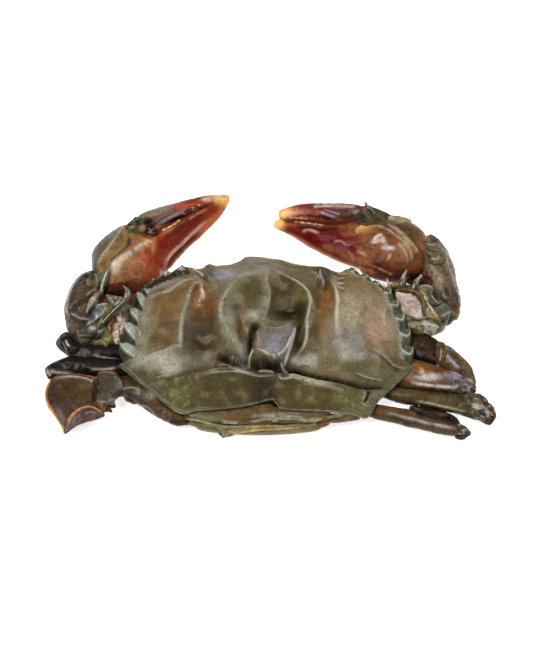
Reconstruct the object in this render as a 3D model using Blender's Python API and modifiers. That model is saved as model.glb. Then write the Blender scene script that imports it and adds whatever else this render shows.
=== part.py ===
"""A steamed soft-shell mud crab, lying on its belly with its claws curled forward.

+Z is up, +Y is the way the crab faces and +X is its right side. The origin is the middle of the
flat tail flap that it rests on. All design sizes are millimetres. Every hard segment of the shell
is a solid of its own, and neighbours keep a small gap where the soft joint skin is.
"""

import math

import bmesh
import bpy
from mathutils import Vector

MM = 0.001

# ---------------------------------------------------------------------------- driving sizes, in mm

CROWN_HEIGHT = 24.0  # highest point of the back, above the table
SHELL_CENTRE = Vector((0.0, -4.0, 0.0))  # where the dome's rings are centred
DOME_POWER = 2.6  # how flat the back stays before it drops to its rim
HOLLOW_POWER = 2.2  # the same, for the inside of the back shell
HOLLOW_DROP = 6.0  # how far the inside of the back shell lies under the crown
RIM_THICKNESS = 0.9

TEETH = 9  # along each side of the saw edge
FIRST_PITCH = 4.6  # between the two teeth beside the eye
LAST_PITCH = 7.2  # between the last tooth and the side spine
NOTCH_DEPTH = 2.3

BROW_HALF_WIDTH = 26.5
BROW_LINE = 27.0  # how far forward the brow runs
SNOUT = 2.2  # how far its middle stands out
ORBIT_DEPTH = 1.8  # the notch above each eye

BODY_HALF_WIDTH = 31.0
BODY_FRONT = 21.0
BODY_REAR = -24.0
BODY_BOTTOM = 2.4

GAP = 0.4  # clearance between neighbouring segments
BAND_THICKNESS = 1.1
FLAP_THICKNESS = 1.5

# ------------------------------------------------------------------------------- finishes


def shell_material(name, colour, roughness):
    """A Principled material of one colour, for one kind of shell."""
    material = bpy.data.materials.new(name)
    material.use_nodes = True
    shader = material.node_tree.nodes["Principled BSDF"]
    shader.inputs["Base Color"].default_value = (*colour, 1.0)
    shader.inputs["Roughness"].default_value = roughness
    shader.inputs["Metallic"].default_value = 0.0
    return material


def make_materials():
    return {
        "back": shell_material("back_shell", (0.14, 0.11, 0.06), 0.35),
        "belly": shell_material("belly_shell", (0.42, 0.36, 0.24), 0.45),
        "tail": shell_material("tail_shell", (0.20, 0.15, 0.06), 0.40),
        "hand": shell_material("claw_shell", (0.30, 0.10, 0.04), 0.30),
        "finger": shell_material("finger_shell", (0.25, 0.04, 0.02), 0.25),
        "arm": shell_material("arm_shell", (0.13, 0.11, 0.07), 0.35),
        "leg": shell_material("leg_shell", (0.10, 0.06, 0.025), 0.25),
        "paddle": shell_material("paddle_shell", (0.10, 0.07, 0.03), 0.35),
        "eye": shell_material("eye", (0.01, 0.01, 0.01), 0.15),
    }


# ------------------------------------------------------------------------------- shared tools


def clear_scene():
    for obj in list(bpy.data.objects):
        bpy.data.objects.remove(obj)


def new_collection(name, hidden=False):
    collection = bpy.data.collections.new(name)
    bpy.context.scene.collection.children.link(collection)
    collection.hide_render = hidden
    return collection


def finish_object(bm, name, material, collection):
    """Turns a bmesh in millimetres into a smooth-shaded object in metres."""
    bmesh.ops.scale(bm, vec=(MM, MM, MM), verts=bm.verts)
    bmesh.ops.recalc_face_normals(bm, faces=bm.faces)
    mesh = bpy.data.meshes.new(name)
    bm.to_mesh(mesh)
    bm.free()
    mesh.materials.append(material)
    mesh.shade_smooth()
    obj = bpy.data.objects.new(name, mesh)
    collection.objects.link(obj)
    return obj


def between(values, t):
    """The smooth (Catmull-Rom) value at t, from 0 to 1, of a list of equal-length tuples."""
    last = len(values) - 1
    place = min(max(t, 0.0), 1.0) * last
    i = min(int(place), last - 1)
    f = place - i
    before, a, b, after = (
        values[max(i - 1, 0)],
        values[i],
        values[i + 1],
        values[min(i + 2, last)],
    )
    return tuple(
        0.5
        * (
            2 * q
            + (r - p) * f
            + (2 * p - 5 * q + 4 * r - s) * f * f
            + (3 * q - p - 3 * r + s) * f**3
        )
        for p, q, r, s in zip(before, a, b, after)
    )


def places_along(points, shares, fine=240):
    """Points at the given shares, from 0 to 1, of the length of a smooth line."""
    line = [Vector(between(points, i / fine)) for i in range(fine + 1)]
    lengths = [0.0]
    for a, b in zip(line, line[1:]):
        lengths.append(lengths[-1] + (b - a).length)
    found = []
    for share in shares:
        goal = share * lengths[-1]
        i = next((i for i in range(fine) if lengths[i + 1] >= goal), fine - 1)
        f = (goal - lengths[i]) / (lengths[i + 1] - lengths[i])
        found.append(line[i].lerp(line[i + 1], f))
    return found


def turned_rings(rings, steps):
    """A closed body of revolution whose rings are (radius, height), with a point at each end."""
    bm = bmesh.new()
    verts = [bm.verts.new((radius, 0.0, height)) for radius, height in rings]
    edges = [bm.edges.new(pair) for pair in zip(verts, verts[1:])]
    bmesh.ops.spin(
        bm, geom=verts + edges, axis=(0, 0, 1), cent=(0, 0, 0), angle=math.tau, steps=steps
    )
    bmesh.ops.remove_doubles(bm, verts=bm.verts, dist=1e-5)
    return bm


def limb_mesh(stations, sides, rows, blunt, swell=0.0):
    """A closed, rounded segment along stations of (x, y, z, half width, half thickness).

    It starts as a sphere whose rings are moved out along the line. blunt is how square its two
    ends are: 2 is an egg, 5 a stubby joint. swell pushes its whole surface out.
    """
    bm = bmesh.new()
    bmesh.ops.create_uvsphere(bm, u_segments=sides, v_segments=rows, radius=1.0)
    step = 0.01
    for vert in bm.verts:
        t = (1 - vert.co.z) / 2
        angle = math.atan2(vert.co.y, vert.co.x)
        station = between(stations, t)
        ahead = Vector(between(stations, min(t + step, 1))[:3])
        behind = Vector(between(stations, max(t - step, 0))[:3])
        side = (ahead - behind).cross(Vector((0, 0, 1))).normalized()
        up = side.cross(ahead - behind).normalized()
        end = (1 - abs(2 * t - 1) ** blunt) ** (1 / blunt)
        vert.co = (
            Vector(station[:3])
            + side * (math.cos(angle) * station[3] * end)
            + up * (math.sin(angle) * station[4] * end)
        )
    if swell:
        bmesh.ops.recalc_face_normals(bm, faces=bm.faces)
        bm.normal_update()
        outward = math.copysign(swell, bm.calc_volume(signed=True))
        for vert, normal in [(v, v.normal.copy()) for v in bm.verts]:
            vert.co += normal * outward
    return bm


class Segments:
    """Builds limb segments, and trims each one clear of neighbours that are already there."""

    def __init__(self, materials, collection, helpers):
        self.materials = materials
        self.collection = collection
        self.helpers = helpers
        self.recipes = {}

    def _helper(self, bm, name):
        helper = finish_object(bm, name, self.materials["belly"], self.helpers)
        helper.hide_render = True
        helper.display_type = "WIRE"
        return helper

    def add(self, name, finish, stations, sides=10, rows=8, blunt=4.0, clear_of=(), thorns=()):
        self.recipes[name] = (stations, sides, rows, blunt)
        bm = limb_mesh(stations, sides, rows, blunt)
        obj = finish_object(bm, name, self.materials[finish], self.collection)
        for other in clear_of:
            cutter = self._helper(limb_mesh(*self.recipes[other], swell=GAP), f"{name}_{other}")
            trim = obj.modifiers.new(f"clear_of_{other}", "BOOLEAN")
            trim.operation = "DIFFERENCE"
            trim.object = cutter
        for number, (base, middle, tip, radius) in enumerate(thorns, 1):
            taper = [
                (*base, radius, radius),
                (*middle, radius * 0.6, radius * 0.6),
                (*tip, radius * 0.15, radius * 0.15),
            ]
            thorn = self._helper(limb_mesh(taper, 6, 6, 3.0), f"{name}_thorn_{number}")
            join = obj.modifiers.new(f"thorn_{number}", "BOOLEAN")
            join.operation = "UNION"
            join.object = thorn
        return obj


# ------------------------------------------------------------------------------- back shell

# The line of the tooth tips down the right side, from the eye to the long side spine.
SIDE_LINE = [(29.5, 26, 13.5), (38, 20.5, 13), (44.5, 12.5, 12), (48, 0, 11.5), (48.5, -13, 11)]
# The hind edge, from the left side spine round to the right one, with a hanging right corner.
HIND_LINE = [
    (-48.3, -12.5, 11),
    (-42.5, -17, 9.5),
    (-35.5, -23, 8.5),
    (-28, -29, 8.3),
    (-19, -28.3, 8.8),
    (-8, -27.3, 9.2),
    (2, -25.6, 10),
    (6, -28, 9),
    (18, -28.5, 8.7),
    (28, -29, 7.2),
    (32.5, -29.5, 6.2),
    (36, -24.5, 7.6),
    (41, -19.8, 9),
    (48.5, -13, 11),
]
HIND_POINTS = 26
BROW_POINTS = 14
TOP_RINGS = [0.16, 0.31, 0.46, 0.60, 0.73, 0.84, 0.93]
UNDER_RINGS = [0.9, 0.65, 0.35]
TOOTH_ZONE = 0.93  # the teeth stand outside this ring

# Furrows and ridges of the slack shell: a line across the back, its half width, and how far it
# lifts (or, below zero, sinks) the skin.
FOLDS = [
    # the fold right across the back, from side spine to side spine
    ([(-40, -19), (-16, -18.5), (0, -19.5), (16, -21.5), (40, -21)], 2.6, -2.6),
    # long ridges either side of the middle
    ([(-22, 22), (-27, 10), (-29, -12)], 3.5, 1.3),
    ([(22, 22), (24.5, 8), (25, -12)], 3.5, 1.2),
    # rim of the middle swelling
    ([(0, 24), (-11, 17), (-15, 8), (-13, -4), (-7, -13)], 3.0, 1.4),
    ([(0, 24), (10, 18), (15, 10), (13.5, -2), (9, -16)], 3.0, 1.4),
    # the sunken pits behind it
    ([(-7, 2), (-5, -15)], 2.8, -2.6),
    ([(9, 3), (6, -15)], 2.8, -2.2),
]


def toothed_side(line):
    """Saw edge along a line that runs from the eye to the side spine, as (tip line, saw) pairs."""
    pitches = [
        FIRST_PITCH + (LAST_PITCH - FIRST_PITCH) * i / (TEETH - 2) for i in range(TEETH - 1)
    ]
    shares = [sum(pitches[:i]) / sum(pitches) for i in range(TEETH)]
    saw = []
    for i, share in enumerate(shares):
        saw.append((share, 0.0))
        if i < TEETH - 1:
            gap = shares[i + 1] - share
            saw.append((share + gap * 0.45, 0.25))
            saw.append((share + gap * 0.78, 1.0))
    smooth = places_along(line, [share for share, _ in saw])
    result = []
    for point, (_, depth) in zip(smooth, saw):
        inward = SHELL_CENTRE - point
        inward.z = 0
        result.append((point, point + inward.normalized() * NOTCH_DEPTH * depth))
    return result


def brow(share):
    """The wavy edge between the eyes, from right (0) to left (1)."""
    x = BROW_HALF_WIDTH * (1 - 2 * share)
    snout = SNOUT * math.exp(-(((x + 4) / 7) ** 2))
    orbit = -ORBIT_DEPTH * math.exp(-(((abs(x) - 24) / 2.2) ** 2))
    lobes = 0.5 * math.cos(math.tau * x / 8.5)
    return Vector((x, BROW_LINE + snout + orbit + lobes, 15 - abs(x) / 15))


def shell_rim():
    """(smooth, toothed) rim points, anticlockwise from the right side spine."""
    right = toothed_side(SIDE_LINE)[::-1]
    front = [brow(i / BROW_POINTS) for i in range(BROW_POINTS + 1)]
    left = toothed_side([(-x, y, z) for x, y, z in SIDE_LINE])
    hind = places_along(HIND_LINE, [i / HIND_POINTS for i in range(1, HIND_POINTS)])
    return right + [(p, p) for p in front] + left + [(p, p) for p in hind]


def distance_to_line(x, y, line):
    """How far (x, y) lies from a line of points."""
    best = math.inf
    for (ax, ay), (bx, by) in zip(line, line[1:]):
        length2 = (bx - ax) ** 2 + (by - ay) ** 2
        f = min(max(((x - ax) * (bx - ax) + (y - ay) * (by - ay)) / length2, 0.0), 1.0)
        best = min(best, math.hypot(x - ax - f * (bx - ax), y - ay - f * (by - ay)))
    return best


def fold_height(x, y, ring):
    """The lift of all folds at a place; they die out at the rim."""
    lift = sum(
        height * math.exp(-((distance_to_line(x, y, line) / width) ** 2))
        for line, width, height in FOLDS
    )
    return lift * (1 - ring**6)


def top_height(rim, ring):
    return rim + (CROWN_HEIGHT - rim) * (1 - ring**DOME_POWER)


def hollow_height(rim, ring):
    edge = rim - RIM_THICKNESS
    return edge + (CROWN_HEIGHT - HOLLOW_DROP - edge) * (1 - ring**HOLLOW_POWER)


def make_back_shell(material, collection):
    """The broad back shell: a slack dome with a saw-toothed front rim, hollow underneath."""
    rim = shell_rim()
    count = len(rim)
    rings = [(0.0, 1.0)] + [(ring, 1.0) for ring in TOP_RINGS] + [(1.0, 0.0)]
    rings += [(ring, -1.0) for ring in UNDER_RINGS] + [(0.0, -1.0)]
    bm = turned_rings(rings, count)
    for vert in bm.verts:
        ring = math.hypot(vert.co.x, vert.co.y)
        turn = math.atan2(vert.co.y, vert.co.x) / math.tau % 1.0
        smooth, toothed = rim[round(turn * count) % count]
        edge = smooth.lerp(toothed, max(0.0, (ring - TOOTH_ZONE) / (1 - TOOTH_ZONE)))
        place = SHELL_CENTRE.lerp(edge, ring)
        if vert.co.z > -0.5:
            place.z = top_height(edge.z, ring) + fold_height(place.x, place.y, ring)
        else:
            place.z = hollow_height(edge.z, ring)
        vert.co = place
    return finish_object(bm, "back_shell", material, collection)


# ------------------------------------------------------------------------------- body and tail

# share of the body's outline, share of its height up to the shell above it
BODY_RINGS = [
    (0.0, 1.0),
    (0.45, 1.0),
    (0.80, 1.0),
    (0.96, 0.93),
    (1.0, 0.6),
    (0.97, 0.22),
    (0.86, 0.0),
    (0.0, 0.0),
]
BODY_STEPS = 28


def make_body(material, collection):
    """The body under the shell: it fills the shell's hollow and carries the legs."""
    bm = turned_rings(BODY_RINGS, BODY_STEPS)
    rim = [smooth - SHELL_CENTRE for smooth, _ in shell_rim()]
    for vert in bm.verts:
        ring = math.hypot(vert.co.x, vert.co.y)
        angle = math.atan2(vert.co.y, vert.co.x)
        reach = BODY_FRONT - SHELL_CENTRE.y if angle > 0 else SHELL_CENTRE.y - BODY_REAR
        x = BODY_HALF_WIDTH * ring * math.cos(angle)
        y = reach * ring * math.sin(angle)
        nearest = max(rim, key=lambda p: (p.x * x + p.y * y) / math.hypot(p.x, p.y))
        share = math.hypot(x, y) / math.hypot(nearest.x, nearest.y)
        ceiling = hollow_height(nearest.z, share) - 3 * GAP
        z = BODY_BOTTOM + (ceiling - BODY_BOTTOM) * vert.co.z
        vert.co = (x, SHELL_CENTRE.y + y, z)
    return finish_object(bm, "body", material, collection)


# Side views of the tail's pieces: y, z, half width. The band shows behind the shell, and the flap
# turns under it and lies flat along the belly.
TAIL_BAND = [(-24.6, 7.0, 23), (-27.0, 6.9, 23.5), (-28.8, 6.5, 23), (-30.4, 5.7, 21.5)]
TAIL_FLAP = [
    (-25.6, 4.4, 20),
    (-28.4, 4.3, 21),
    (-30.4, 3.6, 21),
    (-31.2, 2.4, 20),
    (-30.2, 1.1, 18),
    (-26.0, 0.75, 16),
    (-16.0, 0.75, 14.5),
    (-4.0, 0.75, 12.5),
    (7.0, 0.75, 9),
    (15.0, 0.75, 4),
]
TAIL_BOW = 1.7  # how far the middle of a band stands out behind its ends
TAIL_SHIFT = -2.5  # the bands lie a little to the left
TAIL_ACROSS = 6


def tail_piece(name, path, bowed, thickness, material, collection):
    """A band or flap: a sheet that follows its side view, bowed across, with a thickness."""
    bm = bmesh.new()
    rows = len(path) - 1
    bmesh.ops.create_grid(bm, x_segments=TAIL_ACROSS, y_segments=rows, size=1.0)
    for vert in bm.verts:
        row = round((vert.co.y + 1) / 2 * rows)
        y, z, half_width = path[row]
        share = 1.0 if row < bowed else 0.0
        across = vert.co.x
        vert.co = (
            across * half_width + TAIL_SHIFT * share,
            y - TAIL_BOW * (1 - across**2) * share,
            z,
        )
    obj = finish_object(bm, name, material, collection)
    wall = obj.modifiers.new("thickness", "SOLIDIFY")
    wall.thickness = thickness * MM
    wall.offset = 0.0
    return obj


def make_tail(material, collection):
    tail_piece("tail_band", TAIL_BAND, len(TAIL_BAND), BAND_THICKNESS, material, collection)
    tail_piece("tail_flap", TAIL_FLAP, 5, FLAP_THICKNESS, material, collection)


# ------------------------------------------------------------------------------- face


def make_face(segments):
    """Two eyes in the notches of the brow, and the two plates that close the mouth."""
    for side, x in (("left", -1), ("right", 1)):
        stalk = [
            (x * 18.0, 23.0, 9.8, 1.2, 1.2),
            (x * 21.0, 23.6, 10.2, 1.3, 1.3),
            (x * 24.2, 24.0, 10.6, 1.9, 1.7),
        ]
        segments.add(f"{side}_eye", "eye", stalk, sides=8, rows=6, blunt=3)
        plate = [
            (x * 4.2, 23.4, 9.2, 3.2, 1.0),
            (x * 4.4, 22.6, 5.6, 3.6, 1.1),
            (x * 3.6, 20.6, 2.6, 2.6, 1.0),
        ]
        segments.add(f"{side}_mouth_plate", "belly", plate, sides=8, rows=6)


# ------------------------------------------------------------------------------- claws

# Stations of each segment: x, y, z, half width, half thickness.
LEFT_HAND = [
    (-60.5, 23, 8.5, 4.5, 5),
    (-56.5, 27, 9, 8.8, 7.5),
    (-51, 31.5, 9, 11, 8),
    (-44.5, 36, 9, 10.6, 7.5),
    (-37.5, 39, 8.5, 8.4, 6),
    (-31.5, 43, 8, 5.8, 4.6),
    (-25, 49, 7.5, 4.2, 3.6),
    (-19, 54.8, 7, 2.8, 2.6),
    (-13.6, 60.6, 7, 0.9, 1),
]
LEFT_FINGER = [
    (-47.5, 44, 10.5, 3, 3.5),
    (-41.5, 47, 10.5, 3.8, 4),
    (-34, 51, 10, 3.3, 3.5),
    (-27, 55, 9, 2.6, 3),
    (-20, 58.5, 8, 1.6, 2),
    (-14, 61.5, 7.5, 0.6, 0.8),
]
LEFT_WRIST = [
    (-57.5, 27, 7, 4, 4),
    (-60, 21.5, 8, 5.2, 6),
    (-61.3, 15.5, 8.5, 6, 7),
    (-62, 10, 8.5, 5.6, 6.5),
    (-62.5, 5, 7.5, 4.6, 5),
    (-62.5, 0.5, 6, 2, 3),
]
LEFT_ARM = [
    (-61.5, -1, 6, 3, 3.5),
    (-57, 3, 7, 6.2, 5),
    (-50, 7, 7, 9, 5.5),
    (-42, 9, 5.6, 6.5, 4),
    (-33, 9, 5.2, 4.4, 3.2),
]
RIGHT_HAND = [
    (57.5, 33, 8.5, 3.5, 4.5),
    (50.5, 35.5, 9, 10, 7.5),
    (42.5, 38, 9, 12, 8),
    (35, 40.5, 9, 11, 7.5),
    (27, 41.2, 8.5, 8.2, 6),
    (19, 43.6, 8, 5.8, 4.6),
    (11.5, 47, 7.5, 3.6, 3.4),
    (3.5, 49.5, 7, 1, 1.3),
]
RIGHT_FINGER = [
    (36, 51, 10.5, 3, 3.5),
    (29, 51.5, 10.5, 3.4, 3.8),
    (20.5, 52.5, 10, 3, 3.3),
    (12, 53.3, 9, 2.5, 2.8),
    (4.5, 54, 8, 1.3, 1.6),
]
RIGHT_WRIST = [
    (56, 43, 8, 2.4, 3),
    (57.6, 35, 8.5, 5, 5.5),
    (58.6, 27, 8.5, 5.4, 6.5),
    (60.2, 19, 8.5, 4.8, 6),
    (62, 13, 7.5, 3.6, 4.5),
    (63, 9, 6.5, 1.8, 2.5),
]
RIGHT_ARM = [
    (60.5, 7.5, 6.5, 4.6, 4.5),
    (55.5, 9.5, 7.2, 8.4, 5.5),
    (49, 11, 7, 9.8, 5.2),
    (41.5, 11, 5.4, 7, 4),
    (33, 9, 5.2, 4.4, 3.2),
]
# Spines: base, middle, tip, base radius.
LEFT_ARM_THORNS = [((-49.5, 11.5, 9.5), (-47.5, 15, 11.5), (-49.5, 19.5, 12.5), 1.7)]
RIGHT_ARM_THORNS = [
    ((46.3, 17, 8.6), (45.8, 20, 10.6), (46.8, 23.5, 12.4), 1.6),
    ((53, 16, 9.4), (51.8, 19.2, 10.8), (53, 21.8, 12.2), 1.6),
]


def make_claws(segments):
    """Each claw has a hand with its fixed finger, a moving finger, a wrist and an arm."""
    for side, hand, finger, wrist, arm, thorns in (
        ("left", LEFT_HAND, LEFT_FINGER, LEFT_WRIST, LEFT_ARM, LEFT_ARM_THORNS),
        ("right", RIGHT_HAND, RIGHT_FINGER, RIGHT_WRIST, RIGHT_ARM, RIGHT_ARM_THORNS),
    ):
        claw = f"{side}_claw"
        segments.add(f"{claw}_hand", "hand", hand, 14, 16)
        segments.add(f"{claw}_finger", "finger", finger, 10, 10, clear_of=[f"{claw}_hand"])
        segments.add(f"{claw}_wrist", "arm", wrist, 12, 10, clear_of=[f"{claw}_hand"])
        segments.add(
            f"{claw}_arm",
            "arm",
            arm,
            12,
            10,
            clear_of=[f"{claw}_hand", f"{claw}_wrist"],
            thorns=thorns,
        )


# ------------------------------------------------------------------------------- legs

# Walking legs lie folded: the thick thigh runs out from the body to the knee, and the shin turns
# back beside it or under it. Each has its finish, its stations and the segments it is fitted to.
LEGS = {
    "right_leg_1_thigh": (
        "leg",
        [(33, 0.5, 5, 2.6, 2.8), (42, -1, 5.4, 3.8, 3.4), (50, -2.4, 6, 4.4, 3.4), (56.5, -4, 6, 3.8, 3.2)],
        ["right_claw_arm"],
    ),
    "right_leg_1_shin": (
        "leg",
        [(57, -4.2, 6.4, 4, 3), (59.7, -8, 6.8, 4.5, 3.2), (62.8, -11.4, 6.8, 3.8, 3), (66, -15.2, 6.4, 1.8, 2)],
        ["right_leg_1_thigh"],
    ),
    "right_leg_2_thigh": (
        "leg",
        [
            (33, -9.5, 5.6, 2.4, 2.6),
            (42, -13, 6, 3.8, 3.2),
            (51, -15, 6.6, 4.4, 3.6),
            (59, -16.3, 6.4, 4, 3.2),
            (67.4, -17.4, 5.6, 3.2, 2.8),
        ],
        ["right_leg_1_thigh", "right_leg_1_shin"],
    ),
    "right_leg_3_thigh": (
        "leg",
        [
            (33.5, -16, 4.4, 2, 2.2),
            (43, -20, 4.8, 2.6, 2.4),
            (52, -21.8, 5, 2.8, 2.4),
            (60, -23.4, 5, 3.2, 2.6),
            (66.5, -24.8, 5, 4, 2.8),
            (71.6, -28.4, 4.4, 2.6, 2.4),
        ],
        ["right_leg_2_thigh"],
    ),
    "right_leg_3_shin": (
        "leg",
        [(46.5, -24.2, 3, 1, 1.2), (53, -25.4, 3, 1.9, 1.5), (59.5, -27.2, 3, 1, 1.2)],
        ["right_leg_3_thigh"],
    ),
    "right_leg_4_thigh": (
        "leg",
        [
            (29.5, -24.4, 3, 1.4, 1.6),
            (36, -25.6, 3.4, 2.4, 2.2),
            (44, -27.8, 3.6, 2.8, 2.4),
            (54, -30.4, 3.6, 2.7, 2.4),
            (61, -32.4, 3.5, 2.5, 2.2),
            (65.2, -33.6, 3.3, 1.5, 1.7),
        ],
        ["right_leg_3_shin", "right_leg_3_thigh"],
    ),
    "left_leg_1_thigh": (
        "leg",
        [
            (-33, 0.5, 5, 2.6, 2.8),
            (-42, -3, 5.2, 3.2, 3),
            (-52, -4.6, 5.4, 3.4, 3.1),
            (-61, -3.4, 5.4, 3.8, 3.1),
            (-69.4, 1.6, 5.4, 3, 2.6),
        ],
        ["left_claw_arm", "left_claw_wrist"],
    ),
    "left_leg_2_thigh": (
        "leg",
        [
            (-33, -7.5, 5, 2.4, 2.6),
            (-44, -10, 5, 3, 2.8),
            (-55, -9.6, 5.4, 3.4, 2.9),
            (-65, -9.4, 5.4, 3.6, 2.9),
            (-72.6, -12.4, 5, 2.6, 2.4),
        ],
        ["left_leg_1_thigh"],
    ),
    "left_leg_3_thigh": (
        "leg",
        [(-33.5, -13.5, 4, 2.2, 2.4), (-43, -15, 2.6, 2.4, 1.8), (-55, -15.6, 2.3, 2.4, 1.6), (-69, -15, 2.3, 2, 1.5)],
        ["left_leg_2_thigh"],
    ),
    "left_swim_thigh": (
        "leg",
        [(-26.5, -29, 3.6, 1.4, 1.6), (-31, -27.3, 4.2, 2.9, 2.3), (-36.5, -23.2, 4.6, 3.3, 2.4), (-43, -18.6, 5.4, 3, 2.3)],
        ["left_leg_3_thigh"],
    ),
    "left_swim_wrist": (
        "paddle",
        [(-45, -17, 6.2, 3, 1.8), (-49.5, -18.4, 6.2, 5.4, 2), (-54.5, -19.4, 6, 5.4, 1.8)],
        ["left_swim_thigh", "left_leg_2_thigh", "left_leg_3_thigh"],
    ),
    "left_swim_blade": (
        "paddle",
        [
            (-54.8, -20, 6, 5.4, 1.3),
            (-60, -21.4, 5.8, 7.2, 1.3),
            (-65, -21.8, 5.6, 7.6, 1.3),
            (-69, -20.6, 5.4, 5.6, 1.2),
            (-71.4, -19, 5.4, 2.4, 1),
        ],
        ["left_swim_wrist", "left_leg_2_thigh", "left_leg_3_thigh"],
    ),
    "left_swim_paddle": (
        "paddle",
        [(-51.5, -28.6, 7.2, 1, 0.6), (-56, -28.8, 7.8, 3, 0.9), (-61, -31, 6.8, 3, 0.9), (-64, -34, 4.8, 0.7, 0.6)],
        ["left_swim_blade", "left_swim_wrist"],
    ),
}


def make_legs(segments):
    for name, (finish, stations, neighbours) in LEGS.items():
        segments.add(name, finish, stations, clear_of=neighbours)


# ------------------------------------------------------------------------------- the crab


def main():
    clear_scene()
    collection = new_collection("steamed_crab")
    helpers = new_collection("helpers", hidden=True)
    materials = make_materials()
    make_back_shell(materials["back"], collection)
    make_body(materials["belly"], collection)
    make_tail(materials["tail"], collection)
    segments = Segments(materials, collection, helpers)
    make_face(segments)
    make_claws(segments)
    make_legs(segments)


main()
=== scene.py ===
"""A steamed soft-shell mud crab, lying on its belly with its claws curled forward.

Every hard segment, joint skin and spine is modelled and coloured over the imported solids, in
their frame: +X is the crab's right, +Y the way it faces, +Z up. Shapes are worked out in
millimetres and placed in metres.
"""

import math

import bmesh
import bpy
import numpy as np
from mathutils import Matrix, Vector, noise
from mathutils.bvhtree import BVHTree


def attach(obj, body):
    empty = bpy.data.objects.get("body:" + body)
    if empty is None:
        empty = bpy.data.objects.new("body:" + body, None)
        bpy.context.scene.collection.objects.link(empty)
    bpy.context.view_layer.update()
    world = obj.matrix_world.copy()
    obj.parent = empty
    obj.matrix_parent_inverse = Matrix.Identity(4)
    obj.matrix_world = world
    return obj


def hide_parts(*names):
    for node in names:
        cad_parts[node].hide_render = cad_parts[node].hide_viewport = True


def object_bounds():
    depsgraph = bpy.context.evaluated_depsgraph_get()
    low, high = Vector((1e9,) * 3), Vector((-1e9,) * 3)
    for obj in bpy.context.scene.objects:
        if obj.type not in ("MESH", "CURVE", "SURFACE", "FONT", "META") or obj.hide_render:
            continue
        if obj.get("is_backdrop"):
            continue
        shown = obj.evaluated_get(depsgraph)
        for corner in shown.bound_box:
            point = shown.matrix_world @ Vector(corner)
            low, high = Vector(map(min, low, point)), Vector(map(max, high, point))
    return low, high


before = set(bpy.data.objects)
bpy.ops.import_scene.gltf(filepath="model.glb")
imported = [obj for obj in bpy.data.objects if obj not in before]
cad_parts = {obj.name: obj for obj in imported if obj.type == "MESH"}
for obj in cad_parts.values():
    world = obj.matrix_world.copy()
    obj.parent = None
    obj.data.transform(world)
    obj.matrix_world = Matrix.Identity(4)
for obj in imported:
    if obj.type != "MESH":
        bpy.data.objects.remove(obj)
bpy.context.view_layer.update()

# ------------------------------------------------------------------------------- back shell
# The broad back shell of a crab that has just moulted: one leathery sheet, saw-toothed along
# its two front sides, slack enough to sink into pits and long folds when it is steamed. It is
# grown on the body and stands out past it as a thin, hollow brim.

MM = 0.001
CROWN_HEIGHT = 24.0
SHELL_CENTRE = np.array([0.0, -4.0, 0.0])
DOME_POWER = 2.6
HOLLOW_POWER = 2.2
HOLLOW_DROP = 6.0
BRIM_THICKNESS = 0.9

# Tips of the saw teeth down each side, from the eye to the side spine.
RIGHT_TIPS = [
    (29.6, 25.4, 13.5), (33.6, 23.2, 13), (37.5, 20.3, 13), (41.5, 17.3, 12.5), (44.3, 12.7, 12),
    (46, 6.9, 12), (47.7, 0.8, 11.5), (48.4, -6.1, 11), (48.3, -13.2, 11),
]
LEFT_TIPS = [
    (-29.3, 26.2, 13.5), (-34.3, 24.1, 13), (-38.9, 20.7, 13), (-41.6, 18, 12.5), (-44, 15, 12.5),
    (-46.3, 8.9, 12), (-48, 2.8, 11.5), (-48.5, -5.4, 11), (-48.3, -12.5, 11),
]
# The wavy brow between the eyes, right to left, and the hind edge, left to right.
BROW = [
    (29.6, 25.4, 13.5), (26.8, 23.5, 13.4), (23, 24, 13.6), (19, 25.7, 14), (14.7, 25.9, 14.2),
    (9.6, 26.6, 14.6), (4.6, 28, 15), (-1.5, 29, 15), (-6.6, 29.2, 15), (-9.2, 27.4, 14.8),
    (-12.6, 26.2, 14.6), (-17, 25.9, 14.4), (-19.6, 26.6, 14.2), (-22.6, 25, 13.8),
    (-25.8, 25.6, 13.6), (-29.3, 26.2, 13.5),
]
HIND_EDGE = [
    (-48.3, -12.5, 11), (-42.5, -17, 9.5), (-35.5, -23, 8.5), (-28, -29, 8.3), (-22, -28.4, 8.8),
    (-14, -27.8, 9), (-6, -26.8, 9.3), (1.4, -25, 10), (3.2, -26.3, 9.4), (6, -28.2, 9),
    (18, -28.6, 8.7), (27, -28.8, 7.4), (32.5, -29.5, 6.2), (36, -24.5, 7.6), (41, -19.8, 9),
    (48.3, -13.2, 11),
]
# One tooth, from its tip to the tip behind it: how far along, how deep the edge is cut, and how
# far it hooks forward in mm.
TOOTH_CUT = [
    (0, 0, 1.3), (0.05, 0.02, 0.8), (0.14, 0.06, 0.3), (0.28, 0.14, 0), (0.56, 0.38, 0), (0.8, 0.68, 0),
    (0.9, 0.85, 0), (0.955, 1, 0.1), (0.98, 0.6, 0.7), (1, 0, 1.3),
]
TOOTH_STEPS = 22
TOOTH_PITCH = 7.0
TOOTH_DEEP = 2.7
# The dark outer face of a tooth, in mm back from its tip and in from the edge: how far in it
# reaches, and how far back at each depth. The left teeth lie folded over, the right ones stand.
LEFT_FACE_IN = [(0, 0.2), (1, 1.1), (3.5, 3.2), (6.2, 5.2), (8.6, 6.0)]
LEFT_FACE_BACK = [(0, 6.4), (2.4, 6.6), (3.6, 7.4), (5.2, 8.8), (6.4, 8.9)]
RIGHT_FACE_FRONT = [(0, 0.1), (0.8, 1.9), (1.9, 2.9), (3.7, 2.8), (4.6, 2.3)]
BROW_STEPS = 130
HIND_STEPS = 238


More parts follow.
